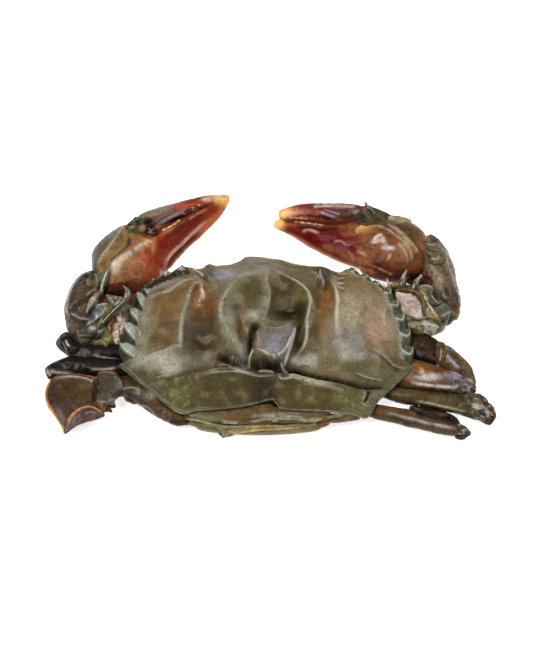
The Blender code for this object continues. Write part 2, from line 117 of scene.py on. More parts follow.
def along(stations, share):
    """Smooth (Catmull-Rom) values at shares, from 0 to 1, of a list of equal-length tuples."""
    rows = np.array(stations, float)
    last = len(rows) - 1
    place = np.clip(share, 0, 1) * last
    i = np.minimum(place.astype(int), last - 1)
    f = (place - i)[:, None]
    p, q, r, s = rows[np.maximum(i - 1, 0)], rows[i], rows[i + 1], rows[np.minimum(i + 2, last)]
    bend = (2 * p - 5 * q + 4 * r - s) * f**2 + (3 * q - p - 3 * r + s) * f**3
    return 0.5 * (2 * q + (r - p) * f + bend)


def evenly(points, count):
    """Evenly spaced points on the smooth line through a few."""
    line = along(points, np.linspace(0, 1, 600))
    run = np.concatenate([[0], np.cumsum(np.linalg.norm(np.diff(line, axis=0), axis=1))])
    goal = np.linspace(0, run[-1], count)
    return np.stack([np.interp(goal, run, line[:, k]) for k in range(line.shape[1])], 1)


def saw_side(tips, shallow, deep):
    """Smooth edge, saw edge and place within the tooth, from the eye to the side spine."""
    steps = (len(tips) - 1) * TOOTH_STEPS
    share = np.linspace(0, 1, steps, endpoint=False)
    smooth = along(tips, share)
    phase = share * (len(tips) - 1) % 1.0
    place, depth, hook = np.array(TOOTH_CUT, float).T
    scale = shallow + (deep - shallow) * share
    inward = (SHELL_CENTRE - smooth) * (1, 1, 0)
    inward /= np.linalg.norm(inward, axis=1)[:, None]
    forward = -np.gradient(smooth, axis=0)
    forward /= np.linalg.norm(forward, axis=1)[:, None]
    cut = inward * (np.interp(phase, place, depth) * scale)[:, None]
    hooked = forward * (np.interp(phase, place, hook) * scale / deep)[:, None]
    return smooth, smooth + cut + hooked, phase


def shell_edge():
    """The whole edge, anticlockwise from the right side spine; phase is -1 where it has no teeth."""
    right = [part[::-1] for part in saw_side(RIGHT_TIPS, 1.9, 2.0)]
    left = saw_side(LEFT_TIPS, 1.7, TOOTH_DEEP)
    brow = evenly(BROW, BROW_STEPS)
    hind = evenly(HIND_EDGE, HIND_STEPS)
    smooth = np.concatenate([right[0], brow, left[0], hind])
    cut = np.concatenate([right[1], brow, left[1], hind])
    bare = np.full(len(brow), -1.0), np.full(len(hind), -1.0)
    return smooth, cut, np.concatenate([right[2], bare[0], left[2], bare[1]])


def rolled_blank(steps, rows):
    """A closed blank: a sheet rolled into a tube and sewn shut down its side and at both ends.

    Returns its mesh, and for each point the share of a turn round it and of the way down it.
    """
    bm = bmesh.new()
    bmesh.ops.create_grid(bm, x_segments=steps, y_segments=rows, size=1.0)
    mesh = bpy.data.meshes.new("blank")
    bm.to_mesh(mesh)
    sheet = (spots_of(mesh) + 1) / 2
    row = np.round(sheet[:, 1] * rows) / rows
    angle = np.round(sheet[:, 0] * steps) / steps * math.tau
    width = np.where((row > 0) & (row < 1), 1.0, 0.0)
    move_to(mesh, np.stack([width * np.cos(angle), width * np.sin(angle), row], 1))
    bm.clear()
    bm.from_mesh(mesh)
    bmesh.ops.remove_doubles(bm, verts=bm.verts, dist=1e-5)
    bm.to_mesh(mesh)
    bm.free()
    tube = spots_of(mesh)
    return mesh, np.arctan2(tube[:, 1], tube[:, 0]) / math.tau % 1.0, tube[:, 2]


def spots_of(mesh):
    spots = np.empty(len(mesh.vertices) * 3, np.float32)
    mesh.vertices.foreach_get("co", spots)
    return spots.reshape(-1, 3).astype(float)


def move_to(mesh, spots):
    mesh.vertices.foreach_set("co", spots.astype(np.float32).ravel())
    mesh.update()


def facing(mesh):
    """The outward direction at each point of a mesh, turned right side out first."""
    spots = spots_of(mesh)
    mesh.calc_loop_triangles()
    tris = np.empty(len(mesh.loop_triangles) * 3, np.int32)
    mesh.loop_triangles.foreach_get("vertices", tris)
    a, b, c = (spots[tris[k::3]] for k in range(3))
    if np.einsum("ij,ij->", a, np.cross(b, c)) < 0:
        mesh.flip_normals()
        mesh.update()
    out = np.empty(len(mesh.vertices) * 3, np.float32)
    mesh.vertex_normals.foreach_get("vector", out)
    return out.reshape(-1, 3).astype(float)


LEAN = math.radians(55)


def board(spots):
    """Where points lie on a drawing board that leans against the tail: across, and up it."""
    up = (spots[:, 1] - 8) * math.sin(LEAN) + spots[:, 2] * math.cos(LEAN)
    return np.stack([spots[:, 0], up], 1)


def towards_board(out):
    """1 where a surface faces the drawing board, fading to 0 where it turns away."""
    front = out[:, 2] * math.sin(LEAN) - out[:, 1] * math.cos(LEAN)
    return ease((front + 0.15) / 0.4)


def ease(x):
    x = np.clip(x, 0, 1)
    return x * x * (3 - 2 * x)


def near_line(drawn, line, left, right, sharp=2.0, fade=0.2):
    """How close, from 0 to 1, drawn places lie to a line. It falls off over a width on its left
    and one on its right, and towards both of its ends; sharp is 2 for a swell, 1 for a crease."""
    path = along(line, np.linspace(0, 1, 7 * len(line)))
    far = 3.2 * max(left, right)
    low, high = path.min(0) - far, path.max(0) + far
    some = np.nonzero(((drawn > low) & (drawn < high)).all(1))[0]
    close = np.zeros(len(drawn))
    if not len(some):
        return close
    spots = drawn[some]
    best, side, share = np.full(len(some), 1e9), np.zeros(len(some)), np.zeros(len(some))
    for k, (a, b) in enumerate(zip(path, path[1:])):
        run = b - a
        f = np.clip(((spots - a) @ run) / max(run @ run, 1e-9), 0, 1)
        off = spots - a - f[:, None] * run
        gap = np.hypot(off[:, 0], off[:, 1])
        new = gap < best
        best[new] = gap[new]
        side[new] = (run[0] * off[:, 1] - run[1] * off[:, 0])[new]
        share[new] = (k + f[new]) / (len(path) - 1)
    width = np.where(side > 0, left, right)
    ends = ease(np.minimum(share, 1 - share) / max(fade, 1e-3) + (0.0 if fade else 1.0))
    close[some] = np.exp(-((best / width) ** sharp)) * ends
    return close


def crumple(spots, size, seed=0.0):
    """Smooth noise, from about -1 to 1, with bumps of a size in mm."""
    return np.array([noise.noise(p) for p in (spots / size + seed).tolist()])


def tint(red, green, blue):
    """A paint colour, 0 to 255, as linear light."""
    c = np.array([red, green, blue], float) / 255
    return np.where(c <= 0.04045, c / 12.92, ((c + 0.055) / 1.055) ** 2.4) * 0.72


def brush(skin, amount, colour):
    """Lays a colour over the skin by an amount from 0 to 1."""
    skin += (tint(*colour) - skin) * np.clip(amount, 0, 1)[:, None]


def pressed(drawn, folds):
    """How far folds lift or sink the skin at drawn places."""
    lift = np.zeros(len(drawn))
    for line, left, right, height, sharp in folds:
        lift += height * near_line(drawn, line, left, right, sharp)
    return lift


def swelled(drawn, swells):
    """How far broad swells and dents lift or sink the skin at drawn places."""
    lift = np.zeros(len(drawn))
    for across, up, wide, tall, height in swells:
        lift += height * np.exp(-(((drawn[:, 0] - across) / wide) ** 2) - ((drawn[:, 1] - up) / tall) ** 2)
    return lift


def dab(skin, drawn, patches, streaks, where=1.0):
    """Dabs patches, then draws streaks, on the skin. A streak with one width has it on both sides."""
    for across, up, wide, tall, colour, strength in patches:
        spread = ((drawn[:, 0] - across) / wide) ** 2 + ((drawn[:, 1] - up) / tall) ** 2
        brush(skin, where * strength * np.exp(-(spread**1.3)), colour)
    for line, *widths, colour, strength in streaks:
        ends = 0.25 if max(widths) < 0.75 else 0.0
        brush(skin, where * strength * near_line(drawn, line, widths[0], widths[-1], 2.0, ends), colour)


def wet_shell(name, mottle, grain, rough, wet, bump, through=0.0, shine=0.35):
    """Wet shell: its own colours, mottled, finely grained and glossy in patches.

    mottle is how much the colour varies, grain the size of the leathery grain in mm, rough the
    range of roughness, wet the weight of the juice on it, and through how much light it lets in.
    """
    material = bpy.data.materials.new(name)
    material.use_nodes = True
    tree = material.node_tree
    shader = tree.nodes["Principled BSDF"]
    place = tree.nodes.new("ShaderNodeTexCoord")
    own = tree.nodes.new("ShaderNodeAttribute")
    own.attribute_name = "skin"

    def noise_of(size, detail, roughness=0.6):
        node = tree.nodes.new("ShaderNodeTexNoise")
        node.inputs["Scale"].default_value = 1 / (size * MM)
        node.inputs["Detail"].default_value = detail
        node.inputs["Roughness"].default_value = roughness
        tree.links.new(place.outputs["Object"], node.inputs["Vector"])
        return node

    def ranged(source, low, high, start, end):
        node = tree.nodes.new("ShaderNodeMapRange")
        for socket, value in zip(("From Min", "From Max", "To Min", "To Max"), (low, high, start, end)):
            node.inputs[socket].default_value = value
        tree.links.new(source, node.inputs["Value"])
        return node.outputs["Result"]

    cloud, fleck, leather = noise_of(4.0, 4.0), noise_of(0.8, 4.0, 0.75), noise_of(grain, 5.0, 0.7)
    colour = own.outputs["Color"]
    for source, spread in ((cloud, mottle), (fleck, mottle * 1.9)):
        shade = tree.nodes.new("ShaderNodeMix")
        shade.data_type = "RGBA"
        shade.blend_type = "MULTIPLY"
        shade.inputs["Factor"].default_value = 1.0
        level = ranged(source.outputs["Fac"], 0.3, 0.7, 1 - spread, 1 + spread)
        tree.links.new(colour, shade.inputs["A"])
        tree.links.new(level, shade.inputs["B"])
        colour = shade.outputs["Result"]
    tree.links.new(colour, shader.inputs["Base Color"])
    tree.links.new(ranged(cloud.outputs["Fac"], 0.35, 0.65, *rough), shader.inputs["Roughness"])
    relief = tree.nodes.new("ShaderNodeBump")
    relief.inputs["Strength"].default_value = 1.0
    relief.inputs["Distance"].default_value = bump * MM
    tree.links.new(leather.outputs["Fac"], relief.inputs["Height"])
    tree.links.new(relief.outputs["Normal"], shader.inputs["Normal"])
    shader.inputs["Coat Weight"].default_value = wet
    shader.inputs["Coat Roughness"].default_value = 0.1
    shader.inputs["Specular IOR Level"].default_value = shine
    if through:
        shader.inputs["Subsurface Weight"].default_value = through
        shader.inputs["Subsurface Radius"].default_value = (0.9, 0.35, 0.15)
        shader.inputs["Subsurface Scale"].default_value = 2 * MM
    return material


def settle(mesh, name, skin, material, slot, *nodes):
    """Puts a finished piece in place: metres, colours, material and smooth shading; it hangs on the root
    and hides the imported parts it stands for.
    """
    move_to(mesh, spots_of(mesh) * MM)
    layer = mesh.color_attributes.new(name="skin", type="FLOAT_COLOR", domain="POINT")
    paint = np.ones((len(mesh.vertices), 4), np.float32)
    paint[:, :3] = np.clip(skin, 0, 1)
    layer.data.foreach_set("color", paint.ravel())
    mesh.materials.append(material)
    mesh.shade_smooth()
    piece = bpy.data.objects.new(name, mesh)
    bpy.context.scene.collection.objects.link(piece)
    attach(piece, "root")
    if nodes:
        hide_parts(*nodes)
    return piece


# Folds of the slack skin, drawn on the board: the line, the widths on its left and right, how
# far it lifts or sinks the skin, and how sharp it is (2 a swell, 1 a crease).
FOREHEAD_LEFT = [
    (-0.5, 21.4), (-4, 19.8), (-7.8, 18), (-10.8, 15.7), (-13.1, 12.8), (-14.7, 10), (-14.9, 7.5), (-14, 4),
    (-11.9, 0.5), (-9.8, -3.4), (-7.6, -7.4), (-6.5, -9.2),
]
FOREHEAD_RIGHT = [
    (0.5, 22.4), (4.5, 19.8), (9.8, 17), (13.2, 14), (14.4, 11), (14, 8.5), (13, 4.5), (12.9, 0.5),
    (12, -3.6), (9.7, -7.4), (7.6, -9.8),
]
NOSE_RIDGE = [(0.2, 22.5), (0.2, 17), (1.1, 14), (1.1, 11), (0.3, 7), (-1, 4)]
LONG_LEFT = [(-22.5, 18.5), (-24.5, 14), (-26, 10), (-27.3, 5), (-27.5, -3), (-26.5, -8)]
LONG_RIGHT = [(21.3, 18.5), (22.5, 14.5), (23, 11), (22.5, 6), (22.5, 1.5), (24, -4)]
CHEEK_LEFT = [(-23, 19), (-27, 17), (-32, 14.5), (-38.5, 12)]
FLANK_LEFT = [(-43.5, -10.5), (-37.5, -7), (-32.5, -5.5), (-27.5, -4)]
FLANK_RIGHT = [(33, -4), (38.5, -8), (41.5, -10.5), (44.5, -11.5), (47.5, -11)]
HIP_RIGHT = [(20, -13), (25, -9.5), (29.5, -6.5), (35, -5.5)]
WAIST = [
    (-40, -16), (-35, -15), (-29.5, -14), (-23, -12.5), (-16, -11), (-10, -10.5), (-5.5, -11.5), (4.5, -12),
    (8, -12.5), (15.5, -14), (23.5, -15.7), (31.5, -17.5), (40, -18.2),
]
WAIST_MIDDLE = [(-13, -10.3), (-9, -10.4), (-5.5, -11.3), (4.5, -11.8), (10, -12.8)]
WAIST_RIGHT = [(6, -12.2), (15.5, -14), (23.5, -15.7), (31.5, -17.5), (40, -18.2)]
HEART_RIGHT = [(9.3, 2.8), (9, 0.7), (7.9, -3.9), (6.5, -8), (5.3, -11)]
HEART_BELOW = [(-4, -4.4), (-1.4, -5.9), (1.1, -7.2), (3.6, -7.2), (6.1, -5.4), (7.7, -2.2), (9, 2)]
HEART_PIT = [(-2, 2.8), (-3.8, 1.4), (-4.8, -1.4), (-5.6, -4.6), (-6.3, -8.2)]
BACK_FOLDS = [
    (FOREHEAD_LEFT, 3.2, 3.6, 1.7, 1.6),
    (FOREHEAD_RIGHT, 2.0, 3.0, 1.6, 1.4),
    (NOSE_RIDGE, 1.3, 4.5, 1.3, 1.5),
    (LONG_LEFT, 1.1, 5.5, 1.5, 1.4),
    (LONG_RIGHT, 6.0, 1.3, 1.3, 1.4),
    (CHEEK_LEFT, 4.0, 1.4, 1.0, 1.5),
    (FLANK_LEFT, 1.3, 4.5, 1.0, 1.5),
    (FLANK_RIGHT, 3.0, 1.0, 0.7, 1.5),
    (HIP_RIGHT, 2.6, 3.2, 0.9, 1.8),
    ([(-22, 17.5), (-21, 14), (-21.5, 11.5), (-22, 9.5)], 0.9, 1.1, 0.8, 1.6),
    ([(-19.5, 16), (-19, 8), (-19.5, -6)], 4.0, 4.0, -1.2, 2.0),
    ([(18.5, 16), (18, 6), (17.5, -6)], 3.2, 3.0, -1.2, 2.0),
    ([(-10, 9.5), (-8, 5), (-7, 0.5), (-6, -4)], 1.4, 1.4, -1.0, 1.6),
    ([(-8.5, -9), (-7.5, -4), (-8, 1)], 1.2, 1.2, 0.5, 1.6),
    (HEART_PIT, 1.1, 1.1, -2.3, 1.7),
    (HEART_BELOW, 2.6, 1.0, 1.15, 1.6),
    (HEART_RIGHT, 0.6, 1.8, 0.9, 1.5),
    ([(9.4, 3.4), (6.5, 2.6), (3, 1.6), (0, 1.8)], 0.7, 2.0, 0.6, 1.5),
    ([(11, 3), (10.9, -2), (9.2, -8)], 1.1, 1.1, -1.3, 1.8),
    ([(-9.6, 3), (-9.4, -1), (-8.4, -5)], 0.8, 0.6, 0.5, 1.5),
    ([(-16, -8), (-9, -9), (-1, -9.8), (5, -10.3)], 1.5, 1.5, -1.3, 2.0),
    (WAIST, 0.8, 1.0, -0.9, 1.3),
    (WAIST_MIDDLE, 2.2, 0.8, -1.4, 1.5),
    (WAIST_RIGHT, 0.9, 1.0, -1.4, 1.4),
    ([(8, -10.5), (16, -12.3), (24, -14), (32, -15.7), (40, -16.5)], 2.5, 1.2, 0.8, 1.6),
    ([(7, -13.6), (12.5, -14.8), (20, -16.3), (30, -18.5)], 0.6, 1.2, 0.5, 1.4),
    ([(-38, -17), (-28, -15.2), (-16, -12.2), (-8, -12)], 0.7, 1.4, 0.5, 1.5),
    ([(4.7, -12.8), (5, -16.5), (5.5, -21.5), (6, -25)], 3.0, 0.9, 0.7, 1.6),
    ([(17.3, 22.5), (17.3, 18), (18, 14)], 0.6, 0.6, -0.9, 1.5),
    ([(19.2, 23), (19.6, 18.5), (20.3, 14)], 0.6, 0.6, -1.0, 1.5),
    ([(18.3, 22.5), (18.4, 18), (19.2, 14)], 0.5, 0.5, 0.7, 1.4),
    ([(-24, 21.5), (-21.5, 19.5), (-19, 16)], 0.6, 0.8, -0.9, 1.5),
    ([(-20, 21.5), (-17.5, 18.5), (-16, 16)], 0.6, 0.8, -0.6, 1.5),
    ([(33.5, -18.5), (32.5, -20.5), (31.5, -23)], 0.7, 0.7, -1.4, 1.5),
    ([(27, -23.5), (29, -22.6), (31, -23.5)], 0.6, 0.6, 0.6, 1.5),
    ([(36, -18), (35, -22), (33.5, -26)], 0.8, 0.8, 0.8, 1.5),
    ([(33, -4.5), (29, 2), (30, 9)], 5.0, 5.0, 0.5, 2.0),
]
# Broad swells and dents: across and up the board, the half sizes, and how far out.
BACK_SWELLS = [
    (7.5, 8, 5, 3.4, -1.8), (6, 15, 4, 4, -0.5), (3, -2, 4.4, 4.6, 0.9), (-0.5, -9.8, 5, 1.6, -1.4),
    (-1, 3.5, 1.6, 2, 0.4), (-20.5, -3, 5.5, 7.5, -0.6), (10.8, -3, 1.8, 6, -1.0), (30, 6, 8, 8, 0.5),
    (-34, 4, 7, 9, 0.5), (37, -14, 6, 2, 0.5), (-11, -8.6, 4, 1.6, -0.7), (-6, 13, 4, 4, 0.3),
    (0, -19, 8, 4, -0.5), (19, -3.5, 3, 4, -0.5), (-33, -9.5, 6, 2.4, 0.5),
]
# Patches on the skin: across and up the board, the half sizes, the colour, how strong. Many are the skin's
# own colours; the pale grey and grey-beige ones on slopes and crests are painted sheen, and the darkest
# ones, laid in the dents, pits and furrows, are painted shade.
BACK_PATCHES = [
    (-34, 4, 9, 11, (113, 88, 56), 0.9), (-33, 12, 6, 3, (126, 94, 54), 0.7),
    (-40, 6, 3, 9, (150, 146, 124), 0.6), (-41.5, -6, 3, 6, (146, 146, 126), 0.6),
    (-30.5, 15.9, 6, 1.4, (136, 128, 110), 0.6), (-33.5, -9, 7, 3, (176, 170, 150), 0.9),
    (-31, -11.9, 3.4, 1.4, (184, 178, 158), 0.8), (-38, -11, 4, 1.6, (150, 142, 122), 0.7),
    (-41.5, -13.2, 3.5, 2, (78, 74, 54), 0.85), (-21.5, -2, 6, 8, (60, 46, 28), 0.95),
    (-21, 6, 5, 4, (92, 66, 36), 0.8), (-22.8, 12, 3.4, 4, (138, 86, 34), 0.85),
    (-18, 9, 3.4, 3, (128, 82, 40), 0.75), (-25.5, 16, 2.5, 2, (126, 86, 40), 0.7),
    (-30, 9, 5, 3, (138, 106, 62), 0.5), (-6, 13.6, 5, 4.5, (86, 74, 45), 0.9),
    (0.4, 15.5, 1.4, 4, (142, 134, 108), 0.7), (0.2, 9.5, 2.6, 3.6, (150, 142, 118), 0.75),
    (-12, 4, 2.3, 6.5, (146, 140, 120), 0.8), (-10.5, 14, 2.5, 2.5, (122, 114, 84), 0.5),
    (-8.5, 1.5, 1.2, 4, (104, 74, 46), 0.7), (-7.5, -5, 1.4, 3, (166, 160, 146), 0.7),
    (6.4, 15, 5.6, 5, (70, 57, 31), 0.92), (7, 6, 6, 3, (34, 26, 14), 0.97),
    (10.6, 7.6, 3, 4, (54, 40, 20), 0.9), (11, 13, 2.6, 3, (104, 92, 44), 0.8),
    (2.6, -2.4, 4.6, 4, (122, 118, 120), 0.92), (2, -4.6, 3, 1.8, (142, 142, 142), 0.6),
    (7.4, 1, 1.6, 2, (132, 128, 124), 0.7), (0.5, -8.6, 4.6, 1.6, (62, 56, 36), 0.9),
    (0.5, -10, 8, 1.3, (30, 25, 18), 0.97), (-11, -8.3, 5, 1.5, (46, 35, 22), 0.9),
    (-5, -2.4, 1.1, 4.4, (44, 36, 26), 0.9), (-3, 2, 1.6, 1.2, (62, 54, 40), 0.8),
    (-4.2, 5.6, 2.6, 1.8, (158, 154, 134), 0.8), (-9.6, -1, 1.3, 3, (128, 108, 88), 0.7),
    (-11.5, -8, 5, 1.6, (50, 36, 22), 0.9), (11, -9, 3, 1.4, (168, 166, 148), 0.8),
    (10.8, -2.5, 1.6, 6, (58, 40, 20), 0.9), (19.4, 11, 3.2, 6, (132, 88, 44), 0.9),
    (18.6, 2.4, 3.4, 4, (128, 96, 58), 0.8), (18.5, -4, 4, 4, (126, 112, 86), 0.8),
    (16.4, 12, 1.6, 4, (118, 104, 78), 0.6), (14.3, -8.5, 2.2, 3, (168, 162, 142), 0.75),
    (34, 6, 9, 10, (166, 142, 112), 0.9), (37.5, 0, 4, 5, (176, 142, 114), 0.6),
    (27, 7, 4, 7, (178, 162, 134), 0.7), (27, -3, 4, 5, (142, 136, 127), 0.8),
    (24.5, 17, 3, 2.5, (140, 98, 52), 0.75), (29.6, 19.6, 2.4, 1, (186, 172, 116), 0.6),
    (33.4, 17.6, 1.6, 0.9, (176, 160, 108), 0.6), (30, -7.5, 6, 1.6, (168, 162, 146), 0.6),
    (34, -13, 9, 2.4, (112, 104, 76), 0.85), (41.5, 5, 3, 9, (166, 152, 124), 0.5),
    (-15, 19.3, 5, 1.8, (152, 148, 158), 0.8), (8, 21.7, 9, 1.3, (104, 93, 74), 0.75),
    (-6, 22.4, 7, 1.2, (104, 98, 80), 0.6), (-20, 19, 3, 2, (66, 62, 44), 0.5),
]
# Patches behind the waist, in the same columns; the pale strip along the lip of the waist groove is a
# painted highlight.
HIND_PATCHES = [
    (-1, -18, 4.5, 6, (60, 48, 32), 0.9), (-29, -20, 7, 4.5, (108, 100, 58), 0.7),
    (14, -20, 7, 5, (98, 80, 42), 0.7), (26, -20.5, 5, 3.5, (116, 106, 62), 0.75),
    (32.5, -23.5, 3.5, 3, (124, 120, 76), 0.8), (38, -19.5, 4, 2, (112, 112, 84), 0.7),
    (18, -16, 5, 0.8, (172, 164, 136), 0.6), (-37, -16.5, 3, 1.2, (124, 106, 96), 0.6),
]
# Thin streaks: most pale ones, along crests and lips, are painted highlights, and most dark ones, in
# furrows and the waist groove, are painted shade; a few are the skin's own colour.
BACK_STREAKS = [
    ([(-22.6, 18.3), (-24.4, 14.2), (-25.8, 10.4)], 0.3, 0.35, (190, 176, 140), 0.85),
    ([(-24.6, 13.4), (-26.6, 7), (-27.5, 1), (-27.3, -7)], 1.6, 1.2, (150, 142, 116), 0.4),
    ([(-24.8, 12.4), (-26.2, 8), (-27.3, 2), (-27.3, -6)], 0.45, (186, 180, 156), 0.8),
    ([(-23, 19), (-27, 17.2), (-31, 15.4)], 0.5, 0.4, (182, 172, 146), 0.8),
    ([(-29, 16.2), (-33.5, 14.2), (-38.5, 12)], 0.8, 0.6, (166, 160, 140), 0.55),
    (FLANK_LEFT, 0.4, 0.9, (172, 168, 150), 0.5), (FOREHEAD_LEFT, 1.4, 1.8, (142, 136, 110), 0.45),
    (FOREHEAD_LEFT, 0.35, 0.4, (160, 154, 128), 0.35),
    ([(-11.5, 15.3), (-13.9, 11.5), (-14.9, 7.5), (-14.4, 2.5)], 0.35, (178, 172, 150), 0.7),
    (FOREHEAD_RIGHT, 0.4, (196, 186, 158), 0.85),
    ([(14.4, 11.5), (15.2, 9.4), (15.2, 6.5), (13.8, 2)], 0.4, 0.9, (188, 172, 140), 0.6),
    (LONG_RIGHT, 0.7, 0.45, (196, 184, 156), 0.85),
    ([(22.6, 3), (23, -2), (25.5, -6.5)], 1.5, 2.6, (166, 158, 140), 0.6),
    (FLANK_RIGHT, 0.35, (182, 176, 152), 0.7),
    ([(34, -5.2), (38.5, -8.8), (41.5, -11.3), (44, -12.2)], 0.4, 0.45, (58, 52, 36), 0.8),
    (NOSE_RIDGE, 0.3, 0.5, (160, 150, 120), 0.5),
    ([(9.9, 2), (9.7, 0), (8.6, -4), (7.2, -8), (6, -11)], 0.45, (40, 33, 26), 0.8),
    (HEART_RIGHT, 0.28, (226, 220, 206), 0.9), ([(8.6, 1), (7.2, -3), (5.8, -6.6)], 0.5, (62, 56, 46), 0.6),
    (HEART_BELOW, 0.3, (210, 206, 192), 0.8),
    ([(-7.6, -3.5), (-8.2, -6), (-7.2, -8.6)], 0.5, (146, 138, 142), 0.6),
    ([(-3, -4.6), (-2.5, -2), (-3, 0.4), (-2.6, 1.8)], 0.35, (158, 150, 140), 0.6),
    ([(-5.6, -10), (-5.3, -7.6), (-4.1, -5)], 0.28, (200, 192, 170), 0.85),
    ([(-0.6, 2), (1.4, 1.7), (4.4, 1.9), (6.4, 3), (8.4, 3.6)], 0.25, 0.5, (150, 144, 138), 0.5),
    ([(-22, 17), (-21, 14), (-21.5, 11.5), (-22, 9.5)], 0.7, 0.8, (184, 158, 134), 0.7),
    ([(-22.8, 17.5), (-22.3, 14), (-22.6, 10.5)], 0.45, (128, 80, 40), 0.8),
    ([(-21.6, 15), (-20.6, 13), (-20.9, 10.6)], 0.35, (222, 206, 190), 0.8),
    (WAIST, 0.4, (40, 33, 22), 0.85), (WAIST_MIDDLE, 1.0, 0.5, (18, 14, 10), 0.97),
    (WAIST_RIGHT, 0.8, 0.5, (26, 21, 14), 0.97),
    ([(-16, -10.3), (-10, -9.4), (-6.5, -10.6)], 0.3, (178, 166, 136), 0.8),
    (
        [(-22, -13.6), (-16, -12.3), (-10.3, -12.1), (-5.4, -13.3), (-1.3, -13.8), (3.6, -13.5)], 0.22,
        (172, 166, 150), 0.8,
    ),
    ([(4.2, -13.2), (4.6, -14.4), (7, -14.3), (9.3, -13.6)], 0.3, (188, 182, 160), 0.85),
    ([(9, -14), (13, -15), (18, -16.4), (24, -18)], 0.5, 0.8, (156, 150, 122), 0.6),
    ([(-6, -12), (-2, -12.6), (2, -12.6), (4.6, -12)], 0.5, (22, 18, 13), 0.95),
    ([(4.6, -9), (5.4, -11), (7, -12)], 0.3, (196, 190, 184), 0.8),
    ([(7, -13.6), (12.5, -14.8), (20, -16.3)], 0.4, 0.6, (176, 168, 136), 0.7),
    ([(18.3, 21.6), (17.8, 19.8), (18.9, 17.8), (18.5, 15.6)], 0.35, (184, 176, 192), 0.85),
    ([(16.3, 21.2), (16.9, 19.4), (16.1, 17.6)], 0.3, (168, 160, 172), 0.6),
    ([(19.6, 20.6), (20.4, 19), (19.8, 17.2)], 0.25, (160, 150, 150), 0.6),
    ([(20, 22.5), (20.4, 18.5), (21, 15)], 0.5, (60, 52, 40), 0.8),
    ([(17.4, 22.5), (17.4, 19), (18, 15)], 0.3, (60, 50, 40), 0.8),
    ([(-25, 22.3), (-23, 20.5), (-21, 19)], 0.45, 0.35, (232, 222, 196), 0.85),
    ([(-24, 20.8), (-22, 19), (-19.5, 16.6)], 0.4, (58, 52, 38), 0.7),
    ([(33.5, -18.5), (32.5, -20.5), (31.5, -22.5)], 0.5, (24, 20, 14), 0.95),
    ([(31.8, -18.4), (31.4, -20.4), (30.8, -22.2)], 0.3, (188, 182, 160), 0.7),
    ([(-9, 8.5), (-7, 9), (-4.5, 8), (-2, 8)], 0.25, (86, 78, 56), 0.6),
    ([(2, 8), (4.5, 8), (7, 9)], 0.25, (110, 102, 80), 0.6),
]

# Fine wrinkles beside the right eye, on the left cheek and about the back, each pressed in, with painted
# shade just below it and a painted highlight along it.
FINE_WRINKLES = [[(21.4, 19.8), (23.6, 18.2), (26.4, 18.4)], [(21.8, 18.4), (23.8, 16.6), (26, 16.2)], [
    (22.4, 17), (23.8, 15), (25.4, 14.2),
], [(22.6, 20.8), (25, 19.8), (28, 20)], [(15, 21), (17, 19.4), (18.4, 17)], [
    (-24, 19.6), (-22.4, 17.6), (-22, 15.6),
], [(-12, -7), (-9, -8.4), (-7, -9.6)], [(10, -10.6), (12, -9.8), (14, -10.4)], [
    (28, -12.6), (33, -14.4), (38, -15.4),
], [(-36, -14.6), (-33, -13.6), (-30, -13.4)], [(30, -22), (32, -23.4), (34, -23.2)], [
    (35, -19.6), (36.4, -21.6), (36, -24),
], [(-44, 3), (-42, 1), (-41.4, -2)], [(40, 9), (38.6, 5), (39.6, 1)], [
    (-30, 15), (-32, 13.6), (-35, 12.6),
]]
BACK_FOLDS += [(line, 0.3, 0.3, 0.35, 1.4) for line in FINE_WRINKLES]
# Painted shade just below each wrinkle, then a painted highlight along it.
BACK_STREAKS += [
    ([(across, up - 0.55) for across, up in line], 0.3, (74, 64, 44), 0.6) for line in FINE_WRINKLES
]
BACK_STREAKS += [(line, 0.24, (186, 178, 154), 0.7) for line in FINE_WRINKLES]

BACK_RINGS = 74
EDGE_RINGS = 30
SAW_ZONE = 0.86
smooth_edge, cut_edge, tooth_phase = shell_edge()
edge_steps = len(smooth_edge)
window = np.exp(-((np.arange(-60, 61) / 24.0) ** 2))
window /= window.sum()
broad_edge = np.stack(
    [
        np.convolve(
            np.concatenate([smooth_edge[-60:, k], smooth_edge[:, k], smooth_edge[:60, k]]), window, "valid",
        ) for k in range(3)
    ], 1,
)
rings = [(SAW_ZONE * k / BACK_RINGS, 1.0) for k in range(BACK_RINGS)]
rings += [(SAW_ZONE + (1 - SAW_ZONE) * k / EDGE_RINGS, 1.0) for k in range(EDGE_RINGS)]
rings += [(0.997, 1.0), (1.0, 0.0), (0.997, -1.0)]
rings += [(ring, -1.0) for ring in (0.985, 0.97, 0.94, 0.9, 0.84, 0.76, 0.66, 0.54, 0.4, 0.25, 0.1, 0.0)]
back, turn, row = rolled_blank(edge_steps, len(rings) - 1)
ring, layer = np.array(rings)[np.round(row * (len(rings) - 1)).astype(int)].T
step = np.round(turn * edge_steps).astype(int) % edge_steps
near_edge = ease((ring - 0.35) / 0.6)[:, None]
toothy = np.clip((ring - SAW_ZONE) / (1 - SAW_ZONE), 0, 1)[:, None]
edge = broad_edge[step] * (1 - near_edge) + smooth_edge[step] * near_edge
edge = edge * (1 - toothy) + cut_edge[step] * toothy
shell = SHELL_CENTRE + (edge - SHELL_CENTRE) * ring[:, None]
dome = edge[:, 2] + (CROWN_HEIGHT - edge[:, 2]) * (1 - ring**DOME_POWER)
lip = edge[:, 2] - BRIM_THICKNESS
hollow = lip + (CROWN_HEIGHT - HOLLOW_DROP - lip) * (1 - ring**HOLLOW_POWER)
shell[:, 2] = np.where(layer > 0.5, dome, np.where(layer < -0.5, hollow, edge[:, 2] - 0.3))
on_top = np.where(layer > 0.5, 1.0, 0.0)
drawn = board(shell)
